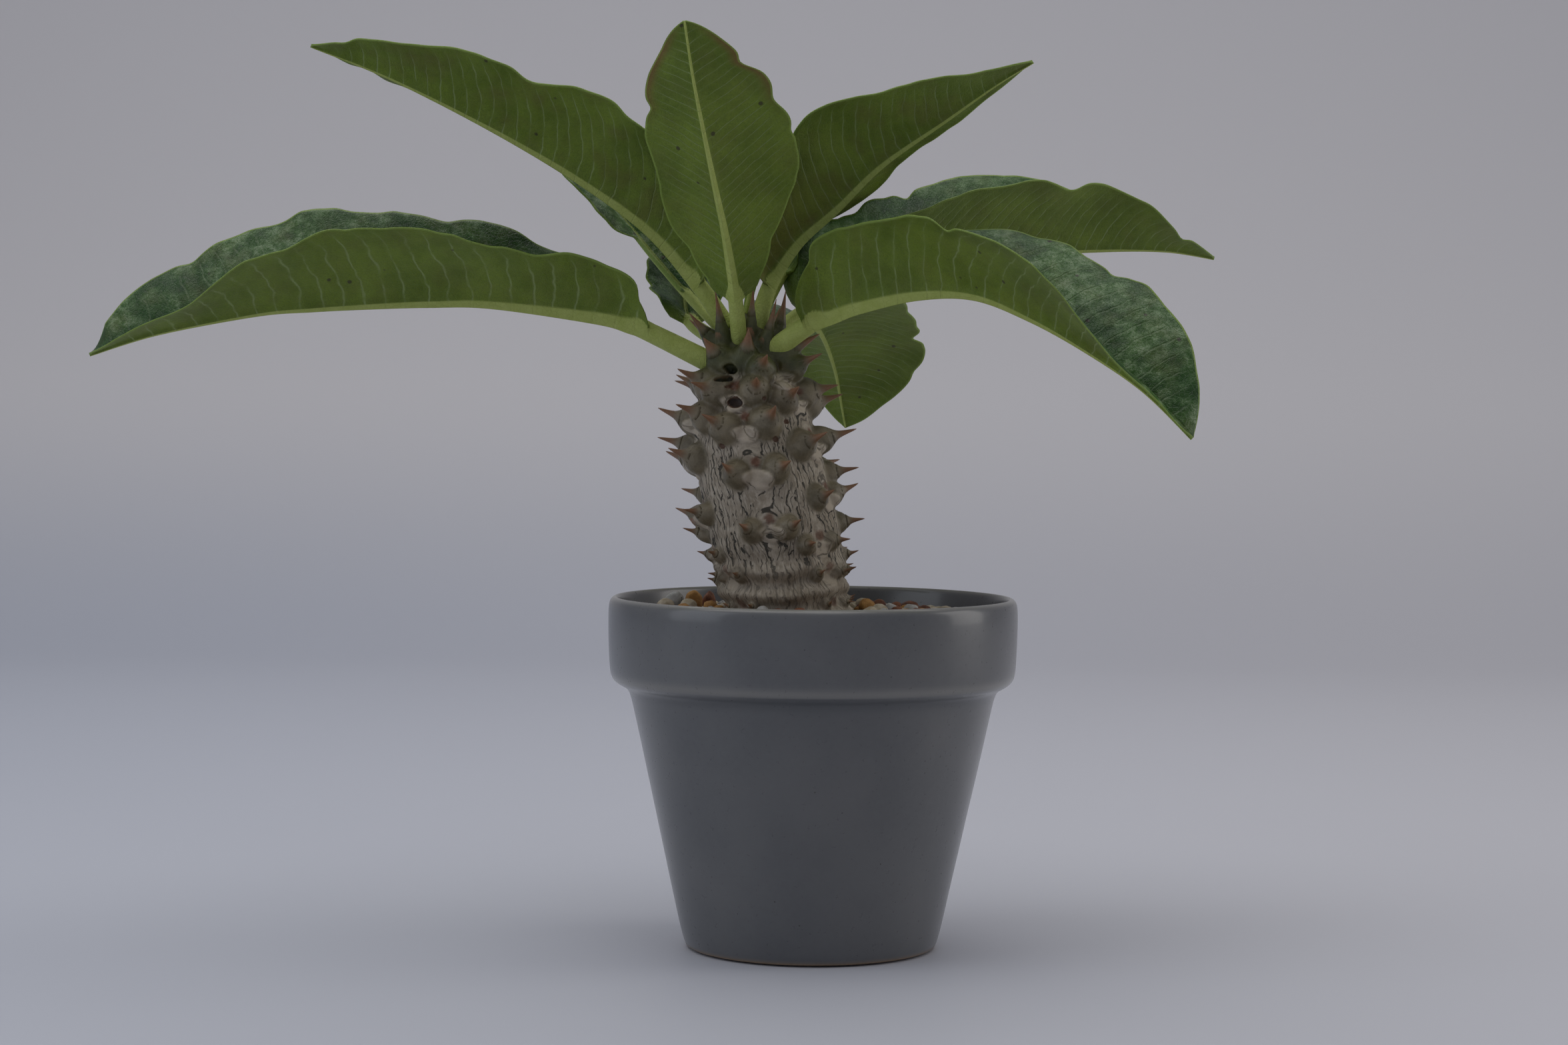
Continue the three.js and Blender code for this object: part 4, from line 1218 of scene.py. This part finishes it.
# darker tone, lighter tone, share of black specks
STONE_COLOURS = {
    "pale_stone": ((0.33, 0.325, 0.31), (0.52, 0.51, 0.49), 0.9),
    "cream_stone": ((0.36, 0.29, 0.19), (0.56, 0.49, 0.37), 0.15),
    "ochre_stone": ((0.3, 0.13, 0.025), (0.5, 0.27, 0.075), 0.1),
    "brown_stone": ((0.08, 0.025, 0.012), (0.24, 0.085, 0.035), 0.2),
}
# Grains between the stones
SMALL_STONES = 520
GRAIN_TRIES = 20000
# after this many tries only fine grains are tried
FINE_GRAINS_AFTER = 9000
GRAIN_SIZES = (1.1, 2.4)
FINE_GRAIN_SIZES = (0.8, 1.4)
GRAIN_NEAR = 15.5
GRAIN_FAR = 50
GRAIN_EDGE = 51
GRAIN_SHARES = (0.2, 0.34, 0.22, 0.24)
# how far two grains overlap, as a share of the sum of their sizes
GRAIN_CROWDING = 0.84


def mix_height(radius):
    """Height of the potting mix: level in the middle, lower towards the lip."""
    part = np.clip((radius - MIX_MOUND_RADIUS) / (LIP_INSIDE - MIX_MOUND_RADIUS), 0, 1)
    return MIX_MOUND_HEIGHT + (MIX_EDGE_HEIGHT - MIX_MOUND_HEIGHT) * part


# Specks on pale stones
SPECK_BLACK = (0.02, 0.019, 0.018)


def stone_material(slot):
    """Rough stone: two tones in patches, fine grain, and black specks on the pale kind."""
    low, high, specks = STONE_COLOURS[slot]
    shader = Shader(slot + "_skin")
    patch = shader.noise(2.4, 4, 0.65)
    grain = shader.noise(0.4, 4, 0.7)
    colour = shader.mix(shader.step(0.3, 0.7, patch), low, high)
    shade = tuple(0.6 * part for part in low)
    colour = shader.cover(colour, shade, shader.step(0.5, 0.8, grain), 0.4)
    speck = shader.step(0.32, 0.2, shader.spots(1.1))
    speck = shader.times(speck, shader.step(0.5, 0.56, shader.noise(1.3, 2)))
    colour = shader.mix(shader.times(speck, specks), colour, SPECK_BLACK)
    rough = shader.plus(shader.times(grain, 0.25), 0.6)
    return shader.finish(colour, rough, shader.bump(grain, 0.25, 0.8))


def ball_points(divisions):
    """Points and triangles of a ball of radius 1."""
    ball = bmesh.new()
    bmesh.ops.create_icosphere(ball, subdivisions=divisions, radius=1)
    points = np.array([vertex.co[:] for vertex in ball.verts])
    faces = np.array([[vertex.index for vertex in face.verts] for face in ball.faces])
    ball.free()
    return points, faces


def stone_shape(ball, half_sizes, turn, tip_over, seed):
    """A pebble with blunt corners: a ball cut towards a few random planes and roughened."""
    rng = np.random.RandomState(seed)
    reach = np.ones(len(ball))
    for _ in range(9):
        plane = rng.normal(size=3)
        plane /= np.linalg.norm(plane)
        depth = rng.uniform(0.72, 0.95)
        facing = ball @ plane
        limit = np.where(facing > 0.05, depth / np.maximum(facing, 0.05), 9)
        reach = np.minimum(reach, 0.25 * reach + 0.75 * np.minimum(reach, limit))
    reach = reach * (1 + 0.05 * noise(ball, 0.5, seed) + 0.02 * noise(ball, 0.2, seed + 1))
    points = ball * reach[:, None] * np.array(half_sizes)
    tilt = np.array(Matrix.Rotation(tip_over, 3, "X"))
    spin = np.array(Matrix.Rotation(turn, 3, "Z"))
    return points @ tilt.T @ spin.T


def build_stones():
    """The CAD stones in detail, and the smaller grains between them, one mesh for each colour."""
    ball, ball_faces = ball_points(4)
    materials = {slot: stone_material(slot) for slot in STONE_COLOURS}
    taken = []
    for index, (x, y, half_x, half_y, half_z, turn, slot) in enumerate(STONES):
        points = stone_shape(ball, (half_x, half_y, half_z), math.radians(turn), 0, 300 + index)
        ground = mix_height(math.hypot(x, y))
        points += (x, y, ground - points[:, 2].min() - 0.1)
        name = "stone_%02d" % (index + 1)
        make_piece(name + "_rough", points, ball_faces, materials[slot], [name])
        taken.append((x, y, max(half_x, half_y)))

    small_ball, small_faces = ball_points(3)
    rng = np.random.RandomState(SEED)
    batches = {slot: [] for slot in STONE_COLOURS}
    kinds = list(STONE_COLOURS)
    placed = 0
    for attempt in range(GRAIN_TRIES):
        if placed == SMALL_STONES:
            break
        far = math.sqrt(rng.uniform(GRAIN_NEAR ** 2, GRAIN_FAR ** 2))
        turn = rng.uniform(0, TURN)
        x = far * math.cos(turn)
        y = far * math.sin(turn)
        size = rng.uniform(*(GRAIN_SIZES if attempt < FINE_GRAINS_AFTER else FINE_GRAIN_SIZES))
        lean, radius = stem_profile(88.0)
        if math.hypot(x - lean, y) < radius + size * 0.6 or far + size > GRAIN_EDGE:
            continue
        if any(math.hypot(x - a, y - b) < GRAIN_CROWDING * (size + c) for a, b, c in taken):
            continue
        taken.append((x, y, size))
        placed += 1
        slot = kinds[rng.choice(len(kinds), p=GRAIN_SHARES)]
        shape = (size * rng.uniform(0.95, 1.2), size * rng.uniform(0.8, 1.0), size * rng.uniform(0.65, 0.9))
        points = stone_shape(small_ball, shape, rng.uniform(0, TURN), rng.uniform(-0.4, 0.4), 900 + placed)
        points += (x, y, mix_height(far) - points[:, 2].min() - 0.25 * size)
        batches[slot].append(points)
    for slot, batch in batches.items():
        faces = np.concatenate([small_faces + index * len(small_ball) for index in range(len(batch))])
        make_piece("grains_" + slot, np.concatenate(batch), faces, materials[slot], [])


def build_mix():
    """Dark gritty potting mix under the stones, with its side and bottom."""
    rings = MIX_RINGS
    count = MIX_SEGMENTS
    radii = np.linspace(0.5, MIX_EDGE_RADIUS, rings)
    turns = np.arange(count) / count * TURN
    radius = np.repeat(radii, count)
    turn = np.tile(turns, rings)
    flat = np.stack([np.cos(turn) * radius, np.sin(turn) * radius], 1)
    crumb = 0.35 * noise(flat, 2.2, SEED + 60) + 0.2 * noise(flat, 0.9, SEED + 61)
    height = mix_height(radius) - 0.3 + crumb * smoothstep(MIX_EDGE_RADIUS, MIX_EDGE_RADIUS - 1, radius)
    points = [np.column_stack([flat, height])]
    for side_radius, side_height in MIX_SIDE:
        circle = np.stack([np.cos(turns), np.sin(turns)], 1) * side_radius
        points.append(np.column_stack([circle, np.full(count, side_height)]))
    faces = ring_faces(rings + len(MIX_SIDE), count)
    faces.append(list(range(count))[::-1])
    last = (rings + len(MIX_SIDE) - 1) * count
    faces.append(list(range(last, last + count)))
    piece = make_piece("mix_surface", np.concatenate(points), faces, mix_material(), ["potting_mix"])
    fix_normals(piece)


# Colours of the mix
MIX_DARK = (0.022, 0.015, 0.01)
MIX_BROWN = (0.12, 0.082, 0.05)
MIX_BITS = (0.26, 0.19, 0.12)


def mix_material():
    """Nearly black grit with brown bits."""
    shader = Shader("mix_skin")
    grain = shader.noise(0.6, 5, 0.75)
    colour = shader.mix(shader.step(0.35, 0.7, grain), MIX_DARK, MIX_BROWN)
    bits = shader.step(0.3, 0.18, shader.spots(1.5))
    colour = shader.cover(colour, MIX_BITS, bits, 0.5)
    return shader.finish(colour, 0.95, shader.bump(grain, 0.6, 1.0))


# Camera where the photo's was, from the ellipses of the pot: focal length as a share of the
# picture's width, place in metres, and pitch, roll and yaw in radians
FOCAL_SHARE = 4640.25 / 2352
CAMERA_PLACE = (0, -0.8317, 0.1459)
CAMERA_PITCH = 0.03804
CAMERA_ROLL = -0.00777
CAMERA_YAW = -0.00962
SENSOR_WIDTH = 36
# Soft lights: name, place, point they face, size, power, colour
LIGHTS = [
    ("soft_top", (-0.1, 0.05, 1.25), (0, 0, 0.1), (1.5, 1.5), 8.5, (1, 0.98, 0.95)),
    ("soft_left", (-1.3, -0.5, 0.6), (0, 0, 0.12), (0.9, 1.1), 3, (0.86, 0.92, 1)),
    ("soft_right", (1.4, 0.1, 0.5), (0, 0, 0.12), (0.7, 1.0), 3.6, (1, 0.97, 0.93)),
]
SURROUND = (0.225, 0.23, 0.26, 1)
# Paper sweep in metres: front end, where it bends up, radius of the bend, top, half width, sink
SWEEP_FRONT = -2.6
SWEEP_BACK = 0.9
SWEEP_BEND = 0.9
SWEEP_TOP = 2.6
SWEEP_HALF_WIDTH = 3.2
SWEEP_SINK = 0.0002
# the floor's two tones are painted shade, darker than the wall's and darker and bluer at the left
PAPER_LEFT_PAINTED_SHADE = (0.5, 0.535, 0.62)
PAPER_RIGHT_PAINTED_SHADE = (0.6, 0.6, 0.64)
PAPER_WALL = (0.78, 0.765, 0.775)
PAPER_CLOUD = (0.9, 0.9, 0.92)
# heights in millimetres between which the floor's painted shade gives way to the wall's lighter tone
WALL_HEIGHTS = (-30, 170)
# the floor's painted shade turns from its darker, bluer left tone to its right one between these distances
# from the middle
FLOOR_SPREAD = 500


def add_camera():
    """The camera, level but for its small pitch, roll and yaw."""
    data = bpy.data.cameras.new("camera")
    data.sensor_width = SENSOR_WIDTH
    data.sensor_fit = "HORIZONTAL"
    data.lens = FOCAL_SHARE * data.sensor_width
    camera = bpy.data.objects.new("camera", data)
    yaw = Matrix.Rotation(-CAMERA_YAW, 3, "Z")
    pitch = Matrix.Rotation(-CAMERA_PITCH, 3, "X")
    roll = Matrix.Rotation(CAMERA_ROLL, 3, "Y")
    level = Matrix.Rotation(math.pi / 2, 3, "X")
    camera.matrix_world = Matrix.Translation(CAMERA_PLACE) @ (yaw @ pitch @ roll @ level).to_4x4()
    bpy.context.scene.collection.objects.link(camera)
    bpy.context.scene.camera = camera


def add_area_light(name, place, target, size, power, colour):
    data = bpy.data.lights.new(name, "AREA")
    data.shape = "RECTANGLE"
    data.size = size[0]
    data.size_y = size[1]
    data.energy = power
    data.color = colour
    light = bpy.data.objects.new(name, data)
    heading = np.subtract(target, place)
    facing = Vector(heading).to_track_quat("-Z", "Y").to_matrix().to_4x4()
    light.matrix_world = Matrix.Translation(place) @ facing
    bpy.context.scene.collection.objects.link(light)


def paper_material():
    """Pale paper with painted shade: darker and bluer on the floor at the left than on the wall."""
    shader = Shader("paper")
    place = shader.add("ShaderNodeSeparateXYZ")
    shader.put(place.inputs[0], shader.place())
    across = shader.step(-FLOOR_SPREAD, FLOOR_SPREAD, place.outputs[0])
    # painted shade on the floor, darker and bluer at the left
    floor = shader.mix(across, PAPER_LEFT_PAINTED_SHADE, PAPER_RIGHT_PAINTED_SHADE)
    paper = shader.mix(shader.step(*WALL_HEIGHTS, place.outputs[2]), floor, PAPER_WALL)
    cloud = shader.noise(300, 2)
    return shader.finish(shader.mix(shader.times(cloud, 0.06), paper, PAPER_CLOUD), 0.55)


def add_stage():
    """A plain pale paper sweep: floor in front, which bends up behind into a wall, under soft light."""
    world = bpy.data.worlds.new("studio")
    bpy.context.scene.world = world
    world.use_nodes = True
    background = world.node_tree.nodes["Background"]
    background.inputs["Color"].default_value = SURROUND
    background.inputs["Strength"].default_value = 1.0
    profile = [(SWEEP_FRONT, 0.0), (SWEEP_BACK, 0.0)]
    for turn in np.linspace(0.05, math.pi / 2, 24):
        profile.append((SWEEP_BACK + SWEEP_BEND * math.sin(turn), SWEEP_BEND - SWEEP_BEND * math.cos(turn)))
    profile.append((SWEEP_BACK + SWEEP_BEND, SWEEP_TOP))
    sides = (-SWEEP_HALF_WIDTH, SWEEP_HALF_WIDTH)
    corners = [(x, y, z - SWEEP_SINK) for y, z in profile for x in sides]
    strips = [(2 * k, 2 * k + 1, 2 * k + 3, 2 * k + 2) for k in range(len(profile) - 1)]
    mesh = bpy.data.meshes.new("paper_sweep")
    mesh.from_pydata(corners, [], strips)
    mesh.polygons.foreach_set("use_smooth", [True] * len(mesh.polygons))
    mesh.materials.append(paper_material())
    sweep = bpy.data.objects.new("paper_sweep", mesh)
    bpy.context.scene.collection.objects.link(sweep)
    for light in LIGHTS:
        add_area_light(*light)


def build_plant():
    build_stem()
    for index, name in enumerate(LEAF_ROWS):
        build_leaf(name, 100 + 30 * index)


add_camera()
add_stage()
build_pot()
build_mix()
build_stones()
build_plant()
bpy.context.scene.view_settings.view_transform = "Standard"
